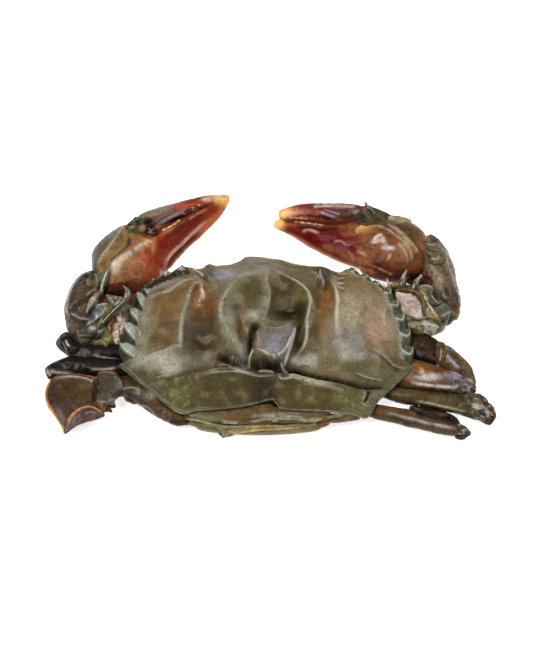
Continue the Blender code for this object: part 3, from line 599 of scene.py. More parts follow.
dies_out = on_top * (1 - ring**10)
lift = 1.8 * pressed(drawn, BACK_FOLDS) + 1.5 * swelled(drawn, BACK_SWELLS)
drawn = board(shell + (dies_out * np.clip(lift, -1.5, 2.5))[:, None] * (0, 0, 1))
lift = 1.8 * pressed(drawn, BACK_FOLDS) + 1.5 * swelled(drawn, BACK_SWELLS)
lift += 0.35 * crumple(shell, 7.0, 3.1) + 0.16 * crumple(shell, 2.6, 8.2) + 0.05 * crumple(shell, 1.0, 5.5)
phase = tooth_phase[step]
radius = np.hypot(*(smooth_edge - SHELL_CENTRE)[:, :2].T)
bite = np.einsum("ij,ij->i", (cut_edge - smooth_edge)[:, :2], (SHELL_CENTRE - smooth_edge)[:, :2]) / radius
depth = (1 - ring) * radius[step] + toothy[:, 0] * bite[step]
toothed = np.where(phase >= 0, 1.0, 0.0)
on_left = np.where(shell[:, 0] < 0, 1.0, 0.0)
size = 0.75 + 0.25 * ease((18 - shell[:, 1]) / 12)
back_from_tip = phase * TOOTH_PITCH
deep_in = depth / size
face, ridge, hollow = np.zeros((3, len(shell)))
for reach in (back_from_tip, back_from_tip + TOOTH_PITCH):
    inner = np.interp(reach, *np.array(LEFT_FACE_IN, float).T)
    behind = np.interp(deep_in, *np.array(LEFT_FACE_BACK, float).T)
    left_face = ease((inner - deep_in) / 0.35 + 0.5) * ease((behind - reach) / 0.5 + 0.5)
    left_ridge = (
        np.exp(-(((deep_in - inner - 0.45) / 0.4) ** 2))
        * ease((behind - reach) / 0.5 + 0.5)
        * ease((5.8 - deep_in) / 1.0)
    )
    start = np.interp(deep_in, *np.array(RIGHT_FACE_FRONT, float).T)
    right_face = ease((reach - start) / 0.5) * ease((6.7 - reach) / 0.5 + 0.5) * ease((4.6 - deep_in) / 1.6)
    right_ridge = (
        np.exp(-(((reach - start) / np.interp(deep_in, [0, 1, 2.5, 4], [0.25, 0.3, 0.5, 0.8])) ** 2))
        * ease((4.8 - deep_in) / 1.2)
    )
    notch = (
        ease((reach - 6.2) / 0.5)
        * ease((TOOTH_PITCH + start - 0.6 - reach) / 0.8)
        * ease((4.6 - deep_in) / 1.0)
        * (1 - on_left)
    )
    face = np.maximum(face, np.where(on_left > 0.5, left_face, right_face))
    ridge = np.maximum(ridge, np.where(on_left > 0.5, left_ridge, right_ridge))
    hollow = np.maximum(hollow, notch)
face, ridge, hollow = toothed * face, toothed * ridge, toothed * hollow
shell[:, 2] += dies_out * lift + on_top * (
    0.5 * ridge - 0.8 * hollow - on_left * 0.9 * face * ease((5 - deep_in) / 4)
)
move_to(back, shell)

skin = np.tile(tint(112, 98, 66), (len(shell), 1))
dab(skin, drawn, BACK_PATCHES, [])
waist = np.interp(drawn[:, 0], *np.array(WAIST, float).T)
hind = ease((waist - drawn[:, 1]) / 0.8 + 0.5)
brush(skin, 0.95 * hind, (88, 77, 46))
dab(skin, drawn, HIND_PATCHES, [], hind)
cloud = crumple(shell, 3.4, 21.0)
brush(skin, 0.35 * ease(cloud * 2 - 0.2), (150, 136, 104))
brush(skin, 0.3 * ease(-cloud * 2 - 0.2), (70, 60, 38))
spots_of_fat = ease(crumple(shell, 1.5, 30.0) * 4 - 1.0) * hind * ease((np.abs(drawn[:, 0] + 1) - 18) / 8)
brush(skin, 0.5 * spots_of_fat, (142, 138, 84))
freckle = ease(-crumple(shell, 0.9, 40.0) * 6 - 2.0) * np.exp(
    -(((drawn[:, 0] - 27) / 8) ** 2) - ((drawn[:, 1] - 10) / 8) ** 2
)
brush(skin, 0.6 * freckle, (84, 66, 44))
dab(skin, drawn, [], BACK_STREAKS)
# A pale band along the toothed edges: partly the teeth's own pale colour, partly painted light on their lit
# upper faces.
margin = toothed * ease((7.4 - depth) / 3.2)
ragged = crumple(shell, 1.1, 17.0)
brush(skin, (0.65 + 0.25 * on_left) * margin * ease((6.4 + ragged - deep_in) / 2), (158, 156, 136))
# The teeth's outer faces: dark green, painted darker as shade; the right ones darker still towards the cut
# edge.
brush(skin, 0.95 * on_left * face, (52, 55, 42))
brush(skin, 0.88 * (1 - on_left) * face, (76, 77, 60))
brush(skin, 0.6 * (1 - on_left) * face * ease((1.6 - deep_in) / 1.0), (48, 52, 42))
# Painted light on the back and inner part of each left face.
brush(
    skin, 0.35 * on_left * face * ease((back_from_tip - 3) / 3) * ease((deep_in - 1.8) / 1.5),
    (104, 102, 84),
)
brush(skin, 0.4 * face * ease(ragged * 2.4), (58, 60, 46))
# Painted shade in the notches behind the right teeth, with dark stripes across them.
brush(skin, 0.7 * hollow, (92, 89, 70))
brush(skin, 0.6 * hollow * ease(np.sin(deep_in * 4 + 3 * ragged) * 1.2), (58, 55, 42))
# A painted highlight along each tooth's front ridge.
brush(skin, (0.45 + 0.4 * ease(ragged * 2 + 0.5)) * ridge, (188, 190, 172))
front_band = near_line(drawn, [(-41.5, 14.6), (-37, 16.8), (-31, 19.3), (-24, 20.8)], 1.3, 1.0)
brush(skin, 0.95 * on_top * ease((front_band + 0.6 * ragged - 0.3) * 4), (46, 43, 29))
brush(
    skin, 0.9 * on_top * ease((front_band - 0.2) * 4) * ease(crumple(shell, 0.8, 12.0) * 7 - 3.0),
    (176, 160, 112),
)
brush(
    skin, 0.8 * on_top * near_line(drawn, [(-40, 13.6), (-36, 15.5), (-30.5, 17.6), (-25, 18.8)], 0.5, 0.7),
    (150, 140, 128),
)
hind_rim = np.where((tooth_phase[step] < 0) & (shell[:, 1] < 0), 1.0, 0.0)
rim_width = 0.5 + 0.2 * ragged + 0.3 * ease((-40 - shell[:, 0]) / 6)
outer_rim = hind_rim * ease((rim_width - depth) / 0.3) * ease((-16 - shell[:, 0]) / 8)
brush(skin, 0.85 * outer_rim, (52, 54, 40))
# Painted highlights on the rolled hind edge: a line just inside the dark rim, and a patchy one along the
# edge itself.
brush(
    skin,
    0.55 * hind_rim * ease((-14 - shell[:, 0]) / 8) * np.exp(-(((depth - rim_width - 0.1) / 0.2) ** 2)),
    (150, 146, 124),
)
brush(skin, (0.2 + 0.45 * ease(ragged * 2 + 0.5)) * hind_rim * ease((0.34 - depth) / 0.2), (160, 156, 136))
brush(
    skin, 0.7 * hind_rim * ease((shell[:, 0] - 22) / 6) * ease((2.4 + 0.8 * ragged - depth) / 0.8),
    (112, 108, 80),
)
brow_rim = np.where((tooth_phase[step] < 0) & (shell[:, 1] > 0), 1.0, 0.0)
brush(skin, 0.6 * brow_rim * ease((2.0 - depth) / 1.5), (92, 88, 76))
brush(
    skin, 0.75 * brow_rim * ease((1.5 - depth) / 0.5) * ease(crumple(shell, 4.0, 2.0) * 4 + 0.4),
    (212, 202, 140),
)
middling = tint(124, 108, 80)
skin = middling * (np.maximum(skin, 1e-4) / middling) ** 1.2
brush(skin, 1 - on_top, (150, 140, 110))
facing(back)
settle(
    back, "back_shell_skin", skin,
    wet_shell("slack_back_shell", 0.2, 0.5, (0.32, 0.5), 0.04, 0.15, 0.0, 0.13), "back_shell", "back_shell",
)

# ------------------------------------------------------------------------------- body
# The trunk that the shell sits on, cream coloured below. It is a single soft shell, scored
# underneath into the plates that carry the legs.

BODY_RINGS = [
    (0.0, 1.0), (0.25, 1.0), (0.45, 1.0), (0.65, 1.0), (0.80, 0.99), (0.9, 0.97), (0.96, 0.92), (0.99, 0.8),
    (1.0, 0.6), (0.99, 0.4), (0.97, 0.22), (0.93, 0.08), (0.86, 0.0), (0.7, 0.0), (0.5, 0.0), (0.25, 0.0),
    (0.0, 0.0),
]
BODY_HALF_WIDTH = 31.0
BODY_FRONT = 21.0
BODY_REAR = -24.0
BODY_BOTTOM = 2.4
body, turn, row = rolled_blank(300, 160)
ring, level = np.clip(along(BODY_RINGS, row), 0, 1).T
angle = (turn * math.tau + math.pi) % math.tau - math.pi
reach = np.where(angle > 0, BODY_FRONT - SHELL_CENTRE[1], SHELL_CENTRE[1] - BODY_REAR)
trunk = np.stack([BODY_HALF_WIDTH * ring * np.cos(angle), reach * ring * np.sin(angle)], 1)
sides = smooth_edge - SHELL_CENTRE
bearing = np.arctan2(sides[:, 1], sides[:, 0])
order = np.argsort(bearing)
out = np.arctan2(trunk[:, 1], trunk[:, 0])
brim = np.interp(out, bearing[order], np.hypot(sides[:, 0], sides[:, 1])[order], period=math.tau)
brim_height = np.interp(out, bearing[order], smooth_edge[order, 2], period=math.tau)
share = np.hypot(trunk[:, 0], trunk[:, 1]) / brim
lip = brim_height - BRIM_THICKNESS
ceiling = lip + (CROWN_HEIGHT - HOLLOW_DROP - lip) * (1 - share**HOLLOW_POWER) - 1.2
spots = np.stack([
    trunk[:, 0], SHELL_CENTRE[1] + trunk[:, 1], BODY_BOTTOM + (ceiling - BODY_BOTTOM) * level,
], 1)
# The breastplate below: grooves run out from the middle between the plates of the five leg pairs.
below = np.where(row > 0.5, 1.0, 0.0) * ease((0.15 - level) / 0.1)
wide, high = np.abs(spots[:, 0]), spots[:, 1]
seam = np.zeros(len(spots))
for place in (-20, -13.5, -7, -0.5, 6):
    seam = np.maximum(seam, np.exp(-(((high - place - 0.28 * wide) / 0.6) ** 2)) * ease((25 - wide) / 3))
seam = below * np.maximum(seam, np.exp(-(((np.hypot(wide / 25.5, (high + 2) / 18) - 1) / 0.03) ** 2)))
pebbled = crumple(spots, 2.0, 4.0)
spots[:, 2] += 0.55 * seam + below * 0.12 * pebbled
move_to(body, spots)
facing(body)
skin = np.tile(tint(196, 182, 150), (len(spots), 1))
brush(skin, 0.4 * ease(pebbled * 2), (214, 200, 172))
brush(skin, 0.4 * ease(crumple(spots, 6.0, 9.0) * 2), (178, 150, 112))
brush(skin, 0.75 * seam, (132, 108, 76))
settle(
    body, "body_skin", skin, wet_shell("belly_skin", 0.1, 0.6, (0.35, 0.5), 0.15, 0.05), "belly_shell",
    "body",
)


# ------------------------------------------------------------------------------- claws
def limb(stations, sides, rows, blunt=(4, 4), square=2.0):
    """A closed limb segment along stations of (x, y, z, half width, half thickness).

    blunt is how square its root and its tip are, and square how boxy it is across: 2 is an oval.
    """
    mesh, turn, row = rolled_blank(sides, rows)
    share = 0.5 * row + 0.25 * (1 - np.cos(math.pi * row))
    angle = turn * math.tau
    place = along(stations, share)
    ahead = (
        along(stations, np.minimum(share + 0.01, 1)) - along(stations, np.maximum(share - 0.01, 0))
    )[:, :3]
    side = np.cross(ahead, (0, 0, 1))
    side /= np.linalg.norm(side, axis=1)[:, None]
    up = np.cross(side, ahead)
    up /= np.linalg.norm(up, axis=1)[:, None]
    power = np.where(share < 0.5, *blunt)
    end = np.clip(1 - np.abs(2 * share - 1) ** power, 0, 1) ** (1 / power)
    across = np.sign(np.cos(angle)) * np.abs(np.cos(angle)) ** (2 / square)
    upward = np.sign(np.sin(angle)) * np.abs(np.sin(angle)) ** (2 / square)
    spots = (
        place[:, :3]
        + side * (across * place[:, 3] * end)[:, None]
        + up * (upward * place[:, 4] * end)[:, None]
    )
    move_to(mesh, spots)
    return mesh, share, angle


def over(across, up, height):
    """The place, at a height above the table, that the board shows across and up."""
    return across, 8 + (up - height * math.cos(LEAN)) / math.sin(LEAN), height


def plate(outline, crown, thick, steps=180, rows=70, power=2.4):
    """A closed plate with a rounded outline of (across, up, height) places on the board, domed
    by crown and thick mm through."""
    mesh, turn, row = rolled_blank(steps, rows)
    edge = np.array([over(*spot) for spot in outline])
    loop = np.concatenate([edge[-1:], edge, edge[:2]])
    rim = along(loop, (1 + turn * len(edge)) / (len(loop) - 1))
    ring = (1 - np.abs(2 * row - 1)) ** 0.8
    face = np.where(row < 0.5, 1.0, -1.0)
    spots = edge.mean(0) + (rim - edge.mean(0)) * ring[:, None]
    spots[:, 2] += crown * (1 - ring**power) + face * 0.5 * thick * np.clip(1 - ring**8, 0, 1) ** 0.5
    move_to(mesh, spots)
    return mesh


LEFT_HAND = [
    (-58.6, 22, 8.5, 4.4, 5), (-53.9, 24.8, 9, 9.8, 7.5), (-49, 29.6, 9, 12.6, 8),
    (-43.4, 34.9, 9, 12.1, 7.5), (-37.2, 38.6, 8.5, 8.9, 6), (-31.5, 43, 8, 6, 4.8),
    (-25, 49, 7.5, 4.6, 3.8), (-19.2, 54.8, 7, 3.4, 3), (-13.4, 61, 7, 1.3, 1.5),
]
LEFT_FINGER = [
    (-46.5, 44.5, 10.5, 3, 3.5), (-41.5, 47, 10.5, 4.2, 4.2), (-34, 51, 10, 3.9, 3.8),
    (-27, 55, 9, 3.3, 3.3), (-20, 58.7, 8.2, 2.5, 2.6), (-13.2, 61.9, 7.6, 1.1, 1.3),
]
LEFT_WRIST = [
    (-57.5, 27, 7, 4, 4), (-60, 21.5, 8, 5.2, 6), (-61.3, 15.5, 8.5, 6, 7), (-62, 10, 8.5, 5.6, 6.5),
    (-62.5, 5, 7.5, 4.6, 5), (-62.5, 0.5, 6, 2, 3),
]
LEFT_ARM = [
    (-61.5, -1, 6, 3, 3.5), (-57, 3, 7, 6.2, 5), (-50, 7, 7, 9, 5.5), (-42, 9, 5.6, 6.5, 4),
    (-33, 9, 5.2, 4.4, 3.2),
]
RIGHT_HAND = [
    (57.3, 31.5, 8.5, 4.5, 4.5), (50.2, 34.2, 9, 11.4, 7.7), (42.4, 37, 9, 13, 8), (35, 40, 9, 11.5, 7.5),
    (27, 41.2, 8.5, 8.6, 6), (19, 44, 8, 6.2, 4.8), (11.5, 47.4, 7.5, 4.2, 3.8), (2.8, 50, 7, 1.8, 1.9),
]
RIGHT_FINGER = [
    (36, 50.6, 10.5, 3.2, 3.7), (29, 51.2, 10.5, 3.8, 4), (20.5, 52.2, 10, 3.6, 3.6),
    (12, 52.8, 9, 3.4, 3.2), (4.2, 53.2, 8, 2, 2.1),
]
RIGHT_WRIST = [
    (56, 43, 8, 2.4, 3), (57.6, 35, 8.5, 5, 5.5), (58.6, 27, 8.5, 5.4, 6.5), (60.2, 19, 8.5, 4.8, 6),
    (62, 13, 7.5, 3.6, 4.5), (63, 9, 6.5, 1.8, 2.5),
]
RIGHT_ARM = [
    (60.5, 7.5, 6.5, 4.6, 4.5), (55.5, 9.5, 7.2, 8.4, 5.5), (49, 11, 7, 9.8, 5.2), (41.5, 11, 5.4, 7, 4),
    (33, 9, 5.2, 4.4, 3.2),
]


def work(mesh, name, base, under, folds, swells, patches, streaks, glaze, slot, *nodes, slack=(0.25, 0.1)):
    """Presses folds into a piece's skin, shrivels it, colours it and puts it in place.

    slack is how far the skin wavers in broad swells, in small wrinkles and, on cracked knees, in
    pale crusts.
    """
    slack = (*slack, 0.0)[:3]
    crust = slack[2]
    out = facing(mesh)
    spots = spots_of(mesh)
    drawn = board(spots)
    front = towards_board(out)
    lift = front * (pressed(drawn, folds) + swelled(drawn, swells))
    wrinkle = 0.5 - 2 * np.abs(crumple(spots, 2.2, 9.0))
    lift += slack[0] * crumple(spots, 6.0, 3.0) + slack[1] * wrinkle
    scab = crumple(spots, 1.3, 7.0) if crust else np.zeros(len(spots))
    lift += crust * scab
    spots += out * lift[:, None]
    spots[:, 2] = np.maximum(spots[:, 2], 0.02)
    move_to(mesh, spots)
    skin = np.tile(tint(*base), (len(spots), 1))
    cloud = crumple(spots, 3.0, 11.0)
    brush(skin, 0.4 * ease(-cloud * 2 - 0.1), [0.62 * c for c in base])
    brush(skin, 0.3 * ease(cloud * 2 - 0.1), [min(255, 1.35 * c + 12) for c in base])
    dab(skin, drawn, patches, streaks, front)
    # Painted shade in the sunk creases of the small wrinkles.
    brush(skin, 0.35 * ease(-wrinkle * 1.6), [0.4 * c for c in base])
    if crust:
        brush(skin, 0.7 * front * ease(scab * 4 - 0.9), (190, 180, 174))
        # Painted shade in the hollows between the crusts.
        brush(skin, 0.7 * ease(-scab * 4 - 0.3), [0.45 * c for c in base])
    brush(skin, 0.9 * (1 - front), under)
    facing(mesh)
    return settle(mesh, name, skin, glaze, slot, *nodes)


def segment(
    name, stations, base, under, folds, patches, streaks, glaze, slot, *nodes, swells=(), sides=100,
    rows=120, blunt=(4, 4), square=2.0, slack=(0.25, 0.1),
):
    """One tubular segment of a claw or leg."""
    mesh, share, angle = limb(stations, sides, rows, blunt, square)
    return work(mesh, name, base, under, folds, swells, patches, streaks, glaze, slot, *nodes, slack=slack)


def top_of(piece):
    """The surface of a finished piece, to lay others on."""
    bm = bmesh.new()
    bm.from_mesh(piece.data)
    tree = BVHTree.FromBMesh(bm)
    bm.free()
    return tree


BOARD_UP = np.array([0.0, math.sin(LEAN), math.cos(LEAN)])
BOARD_OUT = np.array([0.0, -math.cos(LEAN), math.sin(LEAN)])


def off_board(drawn, out):
    """The places that stand some mm out from the board at drawn places."""
    foot = np.array([0.0, 8.0, 0.0])
    return foot + drawn[:, :1] * (1, 0, 0) + drawn[:, 1:2] * BOARD_UP + out[:, None] * BOARD_OUT


def resting(drawn, *tops):
    """How far out from the board the pieces' surfaces stand at drawn places."""
    start = off_board(drawn, np.full(len(drawn), 80.0)) * MM
    down = Vector(-BOARD_OUT)
    out = np.full(len(drawn), -1e9)
    for tree in tops:
        for k, spot in enumerate(start.tolist()):
            gap = tree.ray_cast(spot, down)[3]
            if gap is not None:
                out[k] = max(out[k], 80.0 - gap / MM)
    hit = np.nonzero(out > -1e8)[0]
    for k in np.nonzero(out < -1e8)[0]:
        if len(hit):
            out[k] = out[hit[np.argmin(((drawn[hit] - drawn[k]) ** 2).sum(1))]]
            continue
        out[k] = 8.0
        for _ in range(3):
            spot = off_board(drawn[k : k + 1], out[k : k + 1])[0] * MM
            near = min((tree.find_nearest(spot) for tree in tops), key=lambda found: found[3])[0]
            out[k] = (np.array(near) / MM - (0, 8, 0)) @ BOARD_OUT
    return np.maximum(out, np.median(out) - 2.2)


def laid_plate(outline, crown, lift, *tops, steps=110, rows=40):
    """A closed plate with a rounded outline drawn on the board, laid on other pieces and domed."""
    mesh, turn, row = rolled_blank(steps, rows)
    edge = np.array(outline, float)
    loop = np.concatenate([edge[-1:], edge, edge[:2]])
    rim = along(loop, (1 + turn * len(edge)) / (len(loop) - 1))
    ring = (1 - np.abs(2 * row - 1)) ** 0.8
    drawn = edge.mean(0) + (rim - edge.mean(0)) * ring[:, None]
    flank = np.clip(1 - ring**6, 0, 1) ** 0.5
    out = resting(drawn, *tops) + np.where(row < 0.5, lift * flank + crown * (1 - ring**2.2), -1.3 * flank)
    move_to(mesh, off_board(drawn, out))
    return mesh


def laid_strip(line, *tops, sides=28, rows=70, blunt=(5, 5)):
    """A closed ridge along stations of (across, up, half width, half thickness, lift), laid on
    other pieces."""
    spots = np.array(line, float)
    places = off_board(spots[:, :2], resting(spots[:, :2], *tops) + spots[:, 4])
    return limb(np.concatenate([places, spots[:, 2:4]], 1), sides, rows, blunt)[0]


claw_glaze = wet_shell("claw_shell_wet", 0.2, 0.7, (0.26, 0.42), 0.02, 0.07, 0.0, 0.06)
finger_glaze = wet_shell("finger_shell_wet", 0.2, 0.6, (0.26, 0.42), 0.06, 0.07, 0.05, 0.12)
arm_glaze = wet_shell("arm_shell_wet", 0.22, 0.6, (0.28, 0.44), 0.05, 0.08, 0.0, 0.15)

# The left hand: a deep palm in three plates under a long outer strip, and its red lower finger.
LEFT_CREST = [(-57.5, 20), (-56, 24), (-53, 29), (-50.5, 33), (-48.5, 37), (-46, 41)]
LEFT_PINK = [(-35.5, 21.5), (-33.5, 26), (-29, 31), (-24.5, 35.7), (-20, 40)]
left_hand = segment(
    "left_hand_skin", LEFT_HAND, (152, 104, 62), (176, 112, 66),
    [
        (LEFT_CREST, 5.5, 1.2, 1.0, 1.5),
        ([(-56, 21), (-52, 25.5), (-48.5, 29.5), (-46.5, 34)], 1.0, 1.2, -0.8, 1.8),
        ([(-53.5, 22), (-51, 25.3), (-47, 28.3), (-42.5, 32)], 0.6, 3.2, 0.9, 1.5),
        ([(-43.5, 32.5), (-40.5, 29.3), (-38, 27)], 0.5, 0.5, -0.5, 1.5),
        ([(-46, 27.5), (-44, 26.6), (-41.5, 27.3)], 0.8, 0.8, -0.5, 1.8),
        (LEFT_PINK, 1.2, 0.7, 0.9, 1.4),
        ([(-35, 20), (-32.5, 25), (-28, 30.2), (-23, 35.4)], 0.6, 0.6, -0.7, 1.6),
        ([(-36, 30), (-31, 34.5), (-26, 39)], 1.5, 1.5, -0.4, 2.0),
        ([(-53.3, 22), (-54, 18), (-55.5, 14), (-56.5, 10)], 0.7, 0.7, 0.9, 1.5),
        ([(-52.5, 22), (-53, 18), (-54.5, 13.5)], 0.7, 0.7, -0.6, 1.5),
    ],
    [
        (-50, 19.5, 4.5, 4.5, (168, 134, 92), 0.9), (-50.8, 22, 2.0, 2.2, (220, 204, 170), 0.85),
        (-45, 20, 6, 4, (150, 92, 52), 0.7), (-38.5, 25, 4.5, 6.5, (176, 70, 34), 0.95),
        (-36, 30.5, 3, 3.4, (190, 52, 22), 0.9), (-36, 21, 3.5, 4.5, (168, 70, 38), 0.8),
        (-40, 31.2, 2.0, 1.4, (236, 190, 122), 0.95), (-38.3, 29, 0.9, 1.6, (232, 178, 110), 0.8),
        # The first patch below is brighter than any paint: painted glow of light through the thin
        # fingertip, over its own pale orange.
        (-15, 46.4, 4.2, 4, (350, 268, 140), 1.0), (-19.5, 42.8, 3, 2.4, (230, 104, 48), 0.85),
    ],
    [
        ([(-55, 12), (-50, 13.8), (-45, 14.8), (-38, 14.8)], 3.6, 6, (96, 44, 26), 0.95),
        (LEFT_CREST, 9, 0.5, (66, 54, 38), 1.0),
        ([(-57, 24), (-54, 28.4), (-51, 32)], 0.9, (120, 108, 96), 0.4),
        # Painted sheen: a lilac-grey streak on the outer strip.
        ([(-53.5, 31), (-51, 34), (-48.5, 38)], 1.5, 1.2, (142, 134, 128), 0.6),
        ([(-58.5, 23), (-56, 27.5), (-53, 31)], 1.4, (100, 88, 62), 0.6),
        ([(-54.7, 22), (-51.5, 26.5), (-48.5, 31), (-47, 35)], 1.0, 1.3, (132, 114, 66), 0.95),
        ([(-53.3, 23.7), (-49.5, 27.3), (-47, 30.5), (-46.6, 33)], 0.7, (104, 74, 46), 0.9),
        (LEFT_CREST, 0.35, 0.4, (172, 170, 130), 0.9),
        ([(-47, 33.5), (-46.7, 31), (-46.5, 28.6)], 0.6, (58, 40, 28), 0.9),
        # Painted sheen: this cream streak and the pale one two lines below.
        ([(-52, 22.4), (-49.4, 25), (-46, 27.2), (-42, 30.6)], 0.4, 1.1, (218, 202, 180), 0.85),
        ([(-53.4, 23.4), (-50.6, 26.4), (-47, 29), (-43.5, 32)], 0.5, 0.3, (84, 70, 60), 0.7),
        ([(-50.5, 24), (-47, 25.8), (-43.5, 28.8)], 0.8, (200, 178, 160), 0.7),
        ([(-45.6, 27.7), (-44, 27.2), (-42, 27.8)], 0.5, 0.6, (152, 92, 70), 0.9),
        ([(-46, 22.5), (-45.8, 20), (-43.8, 18.6), (-41.6, 20)], 0.35, (186, 134, 100), 0.6),
        ([(-46, 22.8), (-43.8, 24.2), (-41.4, 23.6), (-41, 21)], 0.35, (186, 134, 100), 0.5),
        ([(-35, 29), (-30, 33), (-23, 39.5), (-18, 44)], 4.5, 6, (110, 22, 14), 0.9),
        ([(-34, 33), (-29, 37), (-24, 41)], 1.3, (84, 18, 16), 0.8),
        ([(-36.5, 17), (-33, 23), (-28, 29.3), (-21.5, 37)], 0.8, 1.8, (150, 58, 34), 0.85),
        ([(-36, 15.5), (-33.6, 20), (-30.6, 24.6)], 0.5, 1.4, (206, 112, 62), 0.7),
        ([(-23, 36.5), (-19, 40), (-15.5, 43.5)], 0.8, 2.2, (210, 104, 54), 0.9),
        ([(-34.8, 21), (-32.6, 25.4), (-28, 30.6), (-23, 35.6)], 0.7, 0.5, (92, 26, 18), 0.9),
        # The pink fold's line: its own pink, with a painted highlight along it.
        (LEFT_PINK, 0.5, 0.4, (222, 168, 148), 0.95),
        ([(-36, 22), (-35.2, 19.6), (-35.6, 17.5)], 0.5, (226, 178, 160), 0.6),
        ([(-37.4, 34.6), (-34.6, 36.6), (-31.6, 38.6), (-28, 41)], 1.5, 0.9, (84, 26, 20), 0.95),
        ([(-36.4, 33.2), (-33.6, 35.2), (-30.8, 37)], 0.3, (206, 120, 84), 0.6),
        ([(-27.5, 39.2), (-24, 41.7), (-20.5, 44)], 0.5, (206, 120, 96), 0.7),
        ([(-53.3, 22), (-54, 18), (-55.5, 14), (-56.5, 10)], 0.5, (172, 178, 156), 0.95),
        ([(-52.4, 22), (-53, 18), (-54.3, 13.5)], 0.5, (62, 64, 44), 0.85),
        ([(-48.5, 39.5), (-45.5, 37), (-41.5, 34.2)], 1.7, 1.5, (58, 56, 38), 0.95),
        ([(-42.6, 34.4), (-40.8, 32.6), (-38.3, 32.2)], 0.5, (70, 26, 18), 0.8),
    ],
    claw_glaze, "claw_shell", "left_claw_hand", sides=150, rows=190, blunt=(4, 5),
)
left_finger = segment("left_finger_skin", LEFT_FINGER, (92, 26, 20), (120, 50, 30), [
    ([(-43, 38), (-38, 41.2), (-32, 44)], 1.6, 0.7, 0.5, 1.6),
    ([(-39.5, 36), (-35, 39), (-29.5, 42)], 0.8, 0.6, 0.6, 1.5),
    ([(-38, 34.3), (-33, 38), (-28, 41)], 0.7, 0.7, -0.6, 1.6),
    ([(-29, 44.4), (-24, 45), (-18, 46.5)], 0.8, 0.8, 0.4, 1.6),
], [
    # The two patches below are brighter than any paint: painted glow of light through the thin tip, over
    # its pale orange.
    (-14.6, 48, 3.8, 2.6, (350, 280, 160), 1.0), (-16.6, 45.8, 2.2, 1.6, (300, 226, 140), 0.85),
    (-44.5, 38.5, 3.4, 2.4, (70, 66, 50), 0.9),
], [
    ([(-41, 35.6), (-36, 39), (-29, 42.8)], 1.2, (50, 20, 22), 0.9),
    # Painted sheen: the thin lilac line here and the broad grey-beige streak along the top below it.
    ([(-40.4, 37), (-36.4, 40.2), (-31, 43.2)], 0.25, (132, 100, 104), 0.7),
    ([(-44, 37.8), (-40.5, 40.3), (-36, 42.7), (-31, 44.7)], 2.4, 1.4, (140, 122, 104), 0.95),
    ([(-30.5, 43.8), (-26, 44.5), (-20, 46)], 1.8, 1.6, (192, 76, 42), 0.95),
    ([(-21.5, 46.6), (-18, 47.5), (-14, 48.3)], 1.3, 0.8, (238, 192, 162), 0.9),
    # Painted sheen: a lilac-grey streak and a thin pink one.
    ([(-38.6, 36), (-35, 38.9), (-31.5, 41), (-29, 42)], 0.8, 0.55, (158, 134, 134), 0.9),
    ([(-29, 41), (-27.5, 42.8), (-25.5, 43), (-23.5, 44)], 0.35, (206, 150, 130), 0.8),
    ([(-28.5, 40.4), (-26, 41.6), (-24, 42.4)], 0.5, (62, 20, 18), 0.8),
], finger_glaze, "finger_shell", "left_claw_finger", sides=100, rows=140, blunt=(4, 5))
RIGHT_WRINKLES = [[(35.5, 37.3), (41, 35.4), (45, 32.4), (48, 29.5)], [(43, 37), (48, 32), (52.5, 26)], [
    (44.3, 31), (47, 27.5), (48, 23.5),
], [(46.8, 31.3), (49, 27), (49.4, 24)], [(41, 37.6), (45, 34.2), (49.5, 29)]]
